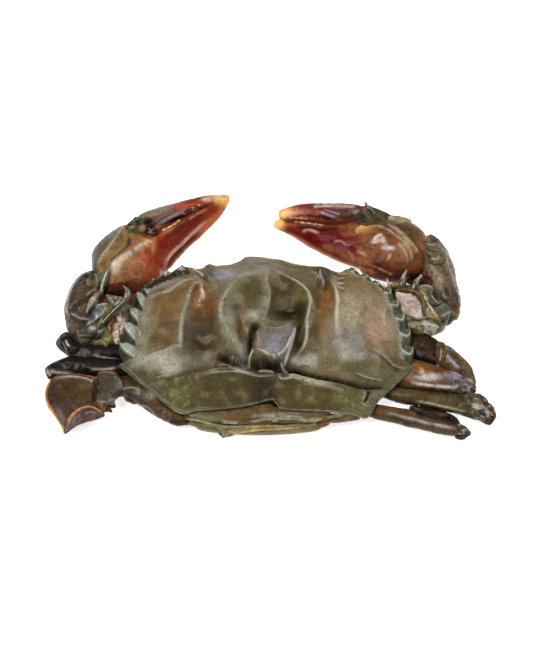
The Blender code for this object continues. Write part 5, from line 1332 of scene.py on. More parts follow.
# The arms are cracked and crumpled where they bend: plates, lobes and rims of shell with the soft
# lining pressed out between them.
lining_glaze = wet_shell("joint_lining_wet", 0.22, 0.5, (0.25, 0.4), 0.15, 0.1, 0.15)
on_left_arm, on_right_arm = top_of(left_arm), top_of(right_arm)
on_left_wrist, on_right_wrist = top_of(left_wrist), top_of(right_wrist)
ARM_PLATES = [
    ("right_arm_inner_plate", [
        (39.4, 14.6), (41.4, 16), (44.4, 16.2), (47.2, 15), (46, 13.4), (43.6, 12.6), (42.6, 10),
        (40.6, 11.6),
    ], 0.4, 0.2, on_right_arm, (84, 62, 34), [(41, 15, 1.4, 1, (138, 112, 52), 0.8)], [
        ([(41, 14), (42.4, 12.4), (43.4, 11)], 0.3, (178, 128, 74), 0.8),
    ], (0.15, 0.2)),
    ("right_arm_pale_plate", [
        (43.3, 13.4), (46.3, 13.4), (49.6, 12.7), (51.3, 9.5), (52, 5), (50, 4.6), (46.4, 6), (44.6, 9),
    ], 0.9, 0.4, on_right_arm, (198, 188, 172), [
        (47.5, 9.5, 2.2, 2.4, (182, 154, 142), 0.6), (44.6, 12, 1, 1, (196, 130, 84), 0.8),
        (46.8, 6.6, 1.4, 0.8, (170, 150, 96), 0.8),
    ], [
        ([(44.5, 12.4), (47.5, 12.4), (49.6, 11)], 0.25, (216, 206, 200), 0.7),
        ([(46.4, 8), (48.4, 8.6), (50, 7)], 0.3, (150, 120, 104), 0.7),
        ([(46, 11), (47.4, 10.2), (49, 10.6)], 0.3, (150, 122, 108), 0.6),
    ], (0.25, 0.25)),
    ("right_arm_lining", [
        (52.6, 12.4), (54, 10.4), (56, 8.2), (58.4, 5.4), (58.8, 3.6), (56, 4.6), (53.4, 5.2), (52.4, 8),
    ], 0.5, 0.3, on_right_arm, (156, 136, 104), [(53.3, 10, 0.7, 1.6, (206, 186, 160), 0.8)], [
        ([(52.9, 11.4), (53.6, 9), (55.4, 6.6)], 0.3, (70, 44, 34), 0.9),
        ([(53.6, 10.6), (54.8, 8), (57.4, 5)], 0.3, (214, 204, 176), 0.9),
        ([(54.6, 9), (56.4, 6.8), (58, 4.8)], 0.3, (62, 52, 40), 0.9),
    ], (0.3, 0.3)),
    ("right_arm_upper_lobe", [
        (50, 15.2), (52.7, 16.4), (55.3, 16), (56.9, 14.2), (57, 12), (58.2, 10.4), (59.3, 9.6), (57.4, 9),
        (55.3, 8.8), (53.9, 10), (52.8, 12.2), (51.2, 13.6),
    ], 1.6, 0.6, on_right_arm, (92, 84, 62), [
        (56, 12, 1.4, 2.2, (48, 44, 42), 0.9), (52.4, 14.4, 1.6, 1.2, (126, 116, 84), 0.8),
        (54.4, 10.2, 1.4, 1.2, (76, 68, 46), 0.8),
    ], [
        ([(50.4, 15), (52.8, 16), (55.2, 15.6), (56.6, 14)], 0.3, (176, 172, 154), 0.8),
        ([(55, 14.6), (55.2, 12.4), (56.6, 10.4), (58.6, 9.9)], 0.3, (168, 166, 150), 0.8),
        ([(51.4, 14), (53, 12.6), (54.2, 10.6)], 0.3, (190, 180, 150), 0.8),
        ([(53.8, 15), (54, 12.8), (55, 11)], 0.4, (66, 72, 66), 0.7),
    ], (0.3, 0.15)),
    ("right_arm_outer_lobe", [
        (56.3, 8.8), (59.4, 10.1), (62, 9.2), (63.6, 6.4), (64, 4.6), (62.8, 4.2), (61.6, 2.8), (59.8, 2.5),
        (58.4, 3.8), (57, 5.4), (55.6, 7.2),
    ], 1.5, 0.6, on_right_arm, (100, 98, 76), [
        (61.6, 4, 2.4, 1.6, (62, 60, 44), 0.9), (57.4, 6.6, 1.4, 1.6, (84, 78, 58), 0.7),
        (63.6, 4.4, 0.5, 0.4, (214, 120, 50), 0.95), (60.4, 3, 0.7, 0.35, (206, 120, 56), 0.9),
    ], [
        ([(56.6, 8.6), (59.4, 9.7), (61.8, 8.8), (63.2, 6.4)], 0.35, 0.4, (156, 164, 152), 0.8),
        ([(57.4, 5.4), (59.4, 6.2), (61.4, 7.6)], 0.3, (168, 176, 168), 0.8),
        ([(56.2, 7), (57.8, 4.6), (59.4, 3.4)], 0.3, (54, 54, 44), 0.8),
    ], (0.25, 0.15)),
    ("right_arm_low_pale_plate", [
        (51.4, 3.2), (53.2, 3.9), (54.6, 3.2), (56.9, 2.6), (57.2, 0.6), (54.8, -0.9), (52.4, -0.2),
    ], 0.6, 0.3, on_right_arm, (196, 190, 168), [(54, 0.6, 1, 0.7, (150, 144, 112), 0.7)], [
        ([(52.4, 2.8), (53.6, 1.6), (55.6, 1.4)], 0.25, (226, 222, 206), 0.7),
    ], (0.15, 0.3)),
    ("right_arm_low_plate", [
        (47.4, 1.6), (48.8, 2.6), (50.8, 3.3), (52.3, 1), (53.2, -0.8), (51, -2), (48.8, -1.8),
        (47.4, -0.4),
    ], 0.6, 0.3, on_right_arm, (104, 94, 58), [(50.8, 1.6, 1, 1, (150, 146, 92), 0.8)], [
        ([(47.8, 1.6), (50.4, 3), (52, 0.8)], 0.25, 0.3, (188, 182, 130), 0.85),
        ([(48.6, 0.6), (50.2, 0.2), (51.8, -0.8)], 0.3, (86, 80, 44), 0.7),
    ], (0.15, 0.15)),
    ("left_arm_lobe", [
        (-58.4, 7.6), (-56, 9.7), (-52.6, 9.9), (-52.4, 8), (-54.2, 5.6), (-57, 3.2), (-59.2, 2.6),
        (-59.6, 4.4),
    ], 1.6, 0.5, on_left_arm, (112, 116, 116), [
        (-57.8, 5, 1, 1.6, (58, 60, 66), 0.85), (-53.4, 8.6, 1.2, 1, (140, 122, 84), 0.8),
        (-55.4, 6.6, 1.6, 1.6, (128, 134, 138), 0.7),
    ], [
        ([(-58.4, 7.4), (-56, 9.4), (-52.8, 9.6)], 0.35, (178, 184, 176), 0.85),
        ([(-57.4, 7.2), (-56.2, 5.6), (-56.6, 3.8)], 0.3, (190, 196, 196), 0.8),
        ([(-56.2, 8), (-54.6, 6.6), (-54.8, 5)], 0.25, (64, 70, 78), 0.8),
        ([(-57, 8.2), (-56.8, 6.4), (-57.6, 4.4)], 0.25, (62, 68, 76), 0.7),
        ([(-53.4, 8.8), (-54, 7), (-56.4, 4.4)], 0.25, 0.3, (184, 180, 140), 0.8),
    ], (0.2, 0.12)),
    ("left_arm_pale_plate", [
        (-54, 12.7), (-51.8, 12.6), (-49.8, 12.3), (-47.8, 11.4), (-50.2, 8.8), (-52.2, 9.8),
    ], 0.8, 0.9, on_left_arm, (134, 132, 120), [
        (-50.8, 10.6, 1, 0.8, (58, 58, 54), 0.8), (-49.8, 11.7, 1.2, 0.4, (150, 136, 66), 0.9),
    ], [
        ([(-50.4, 9.4), (-49.4, 10.2), (-48.4, 11)], 0.4, (216, 220, 210), 0.9),
        ([(-53.4, 12.2), (-52, 11.2), (-51, 9.8)], 0.25, (196, 200, 192), 0.8),
    ], (0.15, 0.15)),
    ("left_arm_brown_plate", [
        (-55, 8.4), (-52.8, 9.6), (-51, 8.8), (-51.8, 6.2), (-53.6, 3.4), (-55, 1.4), (-56.4, 2.6),
        (-54.6, 5),
    ], 0.5, 0.3, on_left_arm, (104, 84, 52), [(-53, 7, 1, 1.4, (136, 112, 62), 0.8)], [
        ([(-54.6, 7.2), (-54.6, 4.4), (-55.6, 2.4)], 0.3, (186, 176, 116), 0.85),
        ([(-53.4, 8), (-53.4, 5), (-54.6, 2.4)], 0.25, (58, 42, 28), 0.8),
    ], (0.2, 0.15)),
    ("left_arm_pink_lining", [
        (-50, 7.6), (-48.6, 7.8), (-48, 4.4), (-48.6, 0), (-48.2, -4), (-49.8, -4.4), (-50.6, 0),
        (-49.8, 4.2),
    ], 0.7, 0.5, on_left_arm, (204, 176, 160), [(-49.6, -2, 0.6, 2, (226, 212, 204), 0.7)], [
        ([(-50.4, 6.6), (-49.2, 6), (-48.4, 6.2)], 0.3, (110, 62, 52), 0.9),
        ([(-50.6, 4), (-49.2, 3.6), (-48.2, 4)], 0.25, (120, 74, 62), 0.8),
        ([(-51, 1.8), (-49.8, 1), (-48.8, 1.6)], 0.3, (116, 70, 56), 0.8),
        ([(-50.8, -1), (-50, -1.8), (-49, -1.4)], 0.25, (130, 84, 72), 0.8),
    ], (0.35, 0.4)),
    ("left_arm_yellow_lining", [
        (-57.6, -3.6), (-55.6, -2), (-53, -1.2), (-51.4, -1.6), (-50.4, -4.4), (-49.6, -6.4), (-51, -7.2),
        (-53, -6), (-56, -5.8),
    ], 0.8, 0.4, on_left_arm, (108, 98, 58), [(-52.6, -2.6, 1.2, 1.4, (154, 146, 76), 0.8)], [
        ([(-55, -2.4), (-53, -4), (-51.6, -6.4)], 0.3, (176, 168, 104), 0.8),
        ([(-54, -2), (-52.2, -3.4), (-50.6, -5.6)], 0.3, (70, 66, 34), 0.8),
        ([(-57.2, -3.8), (-56, -4.4), (-54.4, -4.2)], 0.2, (206, 176, 150), 0.9),
    ], (0.3, 0.2)),
    ("left_elbow_web", [
        (-56.4, 14.8), (-52, 16.6), (-47, 17.4), (-43.4, 16.6), (-42.4, 13), (-44.4, 9.6), (-50, 9.8),
        (-55, 9.6), (-58, 11),
    ], 0.2, 0.1, (on_left_hand, on_left_arm), (88, 40, 24), [(-44.6, 15, 1.6, 1.6, (112, 62, 34), 0.8)], [
        ([(-54, 13.4), (-50, 14.4), (-46, 14.6)], 0.3, (40, 22, 16), 0.8),
    ], (0.15, 0.15)),
    ("right_elbow_web", [
        (44.4, 20.4), (48, 20.2), (52, 19.6), (55.4, 19), (56, 16), (52.6, 15.2), (49, 16.6), (46, 18.6),
    ], 0.2, 0.1, (on_right_hand, on_right_wrist), (78, 38, 24), [], [
        ([(46, 19.6), (50, 18.4), (54, 17.6)], 0.4, (42, 24, 18), 0.8),
    ], (0.15, 0.15)),
    ("left_arm_green_plate", [
        (-63.6, 0), (-61.6, 1.9), (-59.2, 2.4), (-57, 2.8), (-55.7, 1), (-57, -2), (-59.4, -4),
        (-61.4, -5.4), (-62.4, -4.9), (-64.3, -2.3),
    ], 1.1, 0.5, on_left_arm, (62, 64, 48), [
        (-61, -3, 2.6, 1.6, (96, 92, 66), 0.9), (-57.4, 1.7, 1.1, 0.8, (200, 198, 172), 0.9),
        (-61.4, 0.8, 1.4, 0.8, (92, 102, 86), 0.7),
    ], [
        ([(-63.2, -0.2), (-60.4, 0), (-57.6, -0.2)], 0.3, (44, 50, 40), 0.85),
        ([(-63.4, -0.8), (-60.4, -0.8), (-57.4, -1)], 0.25, (128, 134, 104), 0.7),
        ([(-60.4, -1.4), (-60.2, -3), (-61, -4.8)], 0.25, (66, 70, 52), 0.7),
    ], (0.2, 0.15)),
]
for name, outline, crown, lift, base, colour, patches, streaks, slack in ARM_PLATES:
    glaze = lining_glaze if "lining" in name else arm_glaze
    work(
        laid_plate(outline, crown, lift, *(base if isinstance(base, tuple) else (base,))), name, colour,
        [0.8 * c for c in colour], [], [], patches, streaks, glaze, "arm_shell", slack=slack,
    )
ARM_STRIPS = [
    ("right_arm_rim", [
        (40.4, 14.6, 0.6, 0.6, 0), (42, 15.6, 1, 1, 0), (44.4, 15.9, 1.2, 1.2, 0), (47, 15.2, 1.2, 1.2, 0),
        (50, 14.9, 1.1, 1.1, 0), (52.4, 14.6, 0.5, 0.6, 0),
    ], on_right_arm, (104, 84, 44), [(45, 15.2, 3, 0.7, (92, 62, 28), 0.8)], [
        ([(41, 16), (44.4, 16.6), (48, 16)], 0.3, (178, 160, 66), 0.9),
    ]),
    ("right_arm_ridge", [
        (43, 14.2, 0.4, 0.7, 0), (46.6, 14.2, 0.7, 1, 0.1), (50, 13.2, 0.7, 1.1, 0.2),
        (51.9, 10.8, 0.6, 1.1, 0.3), (52.3, 7.8, 0.5, 1, 0.3), (53, 4.8, 0.3, 0.7, 0.1),
    ], on_right_arm, (116, 84, 50), [(47, 14.2, 3, 0.8, (92, 66, 34), 0.7)], [
        ([(47, 14.6), (50.4, 13.8), (52.5, 11), (52.8, 7.6)], 0.25, (176, 134, 88), 0.8),
        ([(46.4, 13.6), (49.6, 12.7), (51.3, 10.4), (51.9, 7.6)], 0.25, (70, 42, 26), 0.9),
    ]),
    ("right_arm_yellow_rim", [
        (46, 6.2, 0.3, 0.4, 0), (48.6, 5, 0.5, 0.5, 0.1), (50.6, 4.4, 0.5, 0.6, 0.1),
        (53, 5, 0.45, 0.6, 0.2), (55.6, 4.8, 0.5, 0.6, 0.2), (57.6, 3.4, 0.6, 0.6, 0.1),
        (60, 3.4, 0.3, 0.4, 0),
    ], on_right_arm, (112, 98, 58), [], [
        ([(48.6, 5.4), (51, 4.8), (53, 5.4), (55.6, 5.2), (57.8, 3.8)], 0.2, (170, 158, 104), 0.7),
    ]),
    ("left_arm_orange_lining", [
        (-49.8, 8, 0.4, 0.4, 0), (-51.2, 4.6, 0.8, 0.7, 0.1), (-52, 2, 0.8, 0.7, 0.1),
        (-51.6, -0.8, 0.4, 0.4, 0),
    ], on_left_arm, (112, 72, 38), [(-51.8, 1.6, 0.5, 0.5, (180, 160, 150), 0.6)], [
        ([(-50.8, 6), (-52.3, 2.6), (-52.1, 0)], 0.2, 0.25, (84, 48, 26), 0.8),
    ]),
    ("left_wrist_ridge", [
        (-53, 22, 0.3, 0.4, 0), (-54, 19, 0.5, 0.8, 0.2), (-54.9, 16.4, 0.6, 0.9, 0.3),
        (-55.6, 14, 0.7, 1, 0.3), (-57.4, 11.6, 1, 0.9, 0.1), (-59, 8.6, 0.7, 0.7, 0),
        (-59.6, 6.6, 0.3, 0.4, 0),
    ], (on_left_wrist, on_left_hand), (150, 150, 120), [(-57.6, 11, 1, 1.6, (204, 172, 152), 0.9)], [
        ([(-53.2, 21.4), (-55, 16.6), (-55.8, 13.8)], 0.3, (206, 210, 192), 0.9),
        ([(-52.8, 20), (-54.2, 16), (-55, 13.2)], 0.3, (52, 54, 38), 0.9),
    ]),
]
for name, line, base, colour, patches, streaks in ARM_STRIPS:
    work(
        laid_strip(line, *(base if isinstance(base, tuple) else (base,))), name, colour,
        [0.8 * c for c in colour], [], [], patches, streaks, arm_glaze, "arm_shell", slack=(0.12, 0.12),
    )
work(
    laid_plate([
        (-59.4, 19.6), (-56, 20.4), (-53.4, 21.8), (-54.4, 17.6), (-55.4, 14.8), (-58, 15), (-60.4, 16.4),
    ], 0.9, 0.3, on_left_wrist, on_left_hand), "left_wrist_plate", (98, 94, 68), (90, 84, 60), [], [],
    [(-58.6, 18.6, 1.4, 1.2, (48, 44, 34), 0.8), (-59.6, 16.6, 0.8, 1.2, (140, 118, 66), 0.8)],
    [([(-57.6, 19.6), (-56.8, 17.4), (-57.4, 15.4)], 0.25, (150, 150, 116), 0.7)], arm_glaze, "arm_shell",
    slack=(0.2, 0.12),
)

# Horns: the curved spines of the arms and the spine on the knuckle of the right hand.
horn_glaze = wet_shell("horn_wet", 0.12, 0.5, (0.2, 0.36), 0.5, 0.03)
HORNS = [
    ("left_arm_spine", (70, 56, 34), (104, 98, 70), on_left_arm, -2.4, [
        (-55.3, 0.8, 0.4, 0.5), (-54.2, 2.8, 0.7, 0.8), (-51.4, 6, 0.9, 1), (-48.4, 9, 1.1, 1.1),
        (-46.2, 11.6, 1.25, 1), (-46, 13.9, 0.9, 0.8), (-47.7, 15.8, 0.15, 0.2),
    ]),
    ("right_arm_spine", (78, 70, 44), (176, 168, 134), on_right_arm, 0, [
        (45.8, 14.6, 1.9, 1.6), (45.8, 16.4, 1.5, 1.3), (46.1, 18.4, 0.95, 0.8), (46.7, 20.2, 0.5, 0.5),
        (47.4, 21.3, 0.15, 0.2),
    ]),
    ("right_elbow_spine", (74, 68, 46), (172, 166, 138), on_right_arm, 0, [
        (49.4, 14, 1.6, 1.5), (49.8, 15.8, 1.3, 1.2), (50.3, 17.2, 0.9, 0.8), (51.2, 18.4, 0.5, 0.5),
        (52.3, 19.1, 0.15, 0.2),
    ]),
    ("right_small_spine", (128, 106, 56), (206, 190, 150), on_right_arm, 0, [
        (41.4, 14, 1, 0.9), (41.3, 15.8, 0.8, 0.7), (41, 17, 0.4, 0.4), (40.6, 18.4, 0.15, 0.2),
    ]),
    ("right_edge_spine", (140, 112, 60), (214, 196, 150), on_right_arm, 0, [
        (40.2, 13.8, 0.7, 0.7), (39.9, 15.2, 0.5, 0.5), (39.5, 16.8, 0.15, 0.2),
    ]),
    ("right_hand_spine", (48, 46, 32), (120, 112, 80), on_right_hand, 0.4, [
        (37.6, 40.6, 1.6, 1.2), (36, 42.4, 1.1, 0.9), (34.8, 44, 0.6, 0.5), (33.8, 45.4, 0.15, 0.2),
    ]),
]
for name, root, tip, base, lift, line in HORNS:
    spots = np.array(line)
    out = resting(spots[:, :2], base)
    out[1:] = np.maximum(out[1:], out[0] + 0.3) + lift * np.linspace(0, 1, len(out) - 1)
    stations = np.concatenate([off_board(spots[:, :2], out), spots[:, 2:]], 1)
    mesh, share, angle = limb(stations, 32, 50, (6, 6))
    spots = spots_of(mesh)
    out = facing(mesh)
    move_to(mesh, spots + out * (0.1 * crumple(spots, 1.6, 4.0))[:, None])
    skin = np.tile(tint(*root), (len(spots), 1))
    brush(skin, ease((share - 0.35) / 0.5), tip)
    brush(skin, 0.8 * ease(np.abs(np.cos(angle)) * 4 - 3) * np.where(np.cos(angle) > 0, 1, 0.4), tip)
    settle(mesh, name, skin, horn_glaze, "arm_shell")

# ------------------------------------------------------------------------------- legs
# The walking legs and the left swimming leg: dark, wet tubes folded where they were cooked, with shrivelled
# pale knees, and a flat paddle rimmed in orange. Their long glints are painted.

LEGS = {
    "right_leg_1_thigh": [
        (33, 0.5, 5, 3, 2.8), (42, -0.6, 5.4, 5.2, 3.4), (50, -2.4, 6, 5.8, 3.6), (55, -5, 6.2, 5.4, 3.3),
        (58, -7, 6, 3.8, 2.8),
    ],
    "right_leg_1_shin": [
        (56, -2.8, 6, 2.4, 2.4), (58, -5.4, 6.6, 3.9, 3.2), (61.1, -8.8, 6.9, 3.9, 3.3),
        (64.6, -12.6, 6.8, 3.1, 3), (67.4, -17.2, 6.2, 1.7, 2),
    ],
    "right_leg_2_thigh": [
        (33, -9, 5.6, 3.4, 2.8), (42, -11.6, 6, 5.4, 3.5), (51, -14.2, 6.6, 5.5, 3.8),
        (59, -16.1, 6.4, 4.4, 3.3), (67.4, -17.4, 5.6, 3.2, 2.8),
    ],
    "right_leg_3_thigh": [
        (33.5, -16, 4.4, 2, 2.2), (43, -20, 4.8, 2.6, 2.4), (52, -21.8, 5, 2.8, 2.4),
        (60, -23.4, 5, 3.2, 2.6), (66.5, -24.8, 5, 4, 2.8), (71.6, -28.4, 4.4, 2.6, 2.4),
    ], "right_leg_3_shin": [(46.5, -24.2, 3, 1, 1.2), (53, -25.4, 3, 1.9, 1.5), (59.5, -27.2, 3, 1, 1.2)],
    "right_leg_4_thigh": [
        (29.5, -24.4, 3, 1.4, 1.6), (36, -25.6, 3.4, 2.4, 2.2), (44, -27.8, 3.6, 2.8, 2.4),
        (54, -30.4, 3.6, 2.7, 2.4), (60, -32, 3.5, 2.6, 2.2), (64.4, -32.9, 3.3, 1.5, 1.5),
    ],
    "left_leg_1_thigh": [
        (-33, 0.5, 5, 2.6, 2.8), (-42, -3, 5.2, 3.2, 3), (-52, -4.6, 5.4, 3.4, 3.1),
        (-61, -3.4, 5.4, 3.8, 3.1), (-69.4, 1.6, 5.4, 3, 2.6),
    ],
    "left_leg_2_thigh": [
        (-33, -7.5, 5, 2.4, 2.6), (-44, -10, 5, 3, 2.8), (-55, -9.6, 5.4, 3.4, 2.9),
        (-65, -9.4, 5.4, 3.6, 2.9), (-72.6, -12.4, 5, 2.6, 2.4),
    ],
    "left_leg_3_thigh": [
        (-33.5, -13.5, 4, 3, 2.8), (-43, -15.4, 4, 4, 3), (-52, -16.2, 3.2, 3.4, 2.2),
        (-60, -15.8, 2.3, 2.4, 1.6), (-69, -15, 2.3, 2, 1.5),
    ],
    "left_swim_thigh": [
        (-24.5, -29.4, 3.6, 1.4, 1.6), (-29.6, -27.9, 4.2, 2.9, 2.4), (-35.4, -23.9, 4.6, 3.6, 2.7),
        (-41.4, -19.6, 5.2, 3.6, 2.6), (-47, -16.8, 5, 2.6, 2.2),
    ],
}
# The flat pieces of the swimming leg: their outlines on the board with the height, how far they
# are domed, and how thick they are.
LEG_PLATES = {
    "left_swim_wrist": ([
        (-54.9, -12.9, 6.2), (-51.3, -12.6, 6.4), (-48.6, -13.8, 6.4), (-46.9, -15.8, 6.2),
        (-46.6, -18.2, 6), (-47.8, -20.2, 6), (-49.2, -21.6, 6), (-49.4, -23.4, 6), (-51.2, -23.4, 6),
        (-52.8, -25.2, 6), (-54.6, -24.4, 6), (-55.5, -21.6, 6), (-55.7, -17.6, 6.2), (-55.6, -14.6, 6.2),
    ], 1.3, 2.2),
    "left_swim_blade": ([
        (-55.6, -14.9, 6), (-59.5, -13.7, 6), (-64.4, -13.3, 5.8), (-69, -13.9, 5.6), (-71.2, -15.6, 5.4),
        (-72.2, -18.2, 5.4), (-72.2, -21, 5.4), (-70.9, -24, 5.4), (-68.7, -26.6, 5.4), (-66.7, -29.4, 5),
        (-64.9, -32.4, 4.4), (-63.6, -29.6, 5), (-61.1, -27, 5.6), (-58, -25.4, 6), (-56, -22.6, 6),
        (-56, -18.6, 6),
    ], 1.2, 1.6),
    "left_swim_paddle": ([
        (-64.8, -32.4, 4.8), (-64.5, -28.6, 6.2), (-62.4, -25.7, 6.9), (-59.2, -23.7, 7),
        (-56.4, -23.6, 6.9), (-54, -24.8, 6.7), (-52.2, -26.6, 6.2), (-55.2, -28, 6.3), (-59.5, -29.3, 6.2),
        (-62.4, -30.8, 5.6),
    ], 0.5, 1.1),
}
leg_glaze = wet_shell("leg_shell_wet", 0.25, 0.6, (0.28, 0.44), 0.04, 0.06, 0.0, 0.12)
paddle_glaze = wet_shell("paddle_wet", 0.22, 0.6, (0.28, 0.44), 0.05, 0.06, 0.0, 0.15)
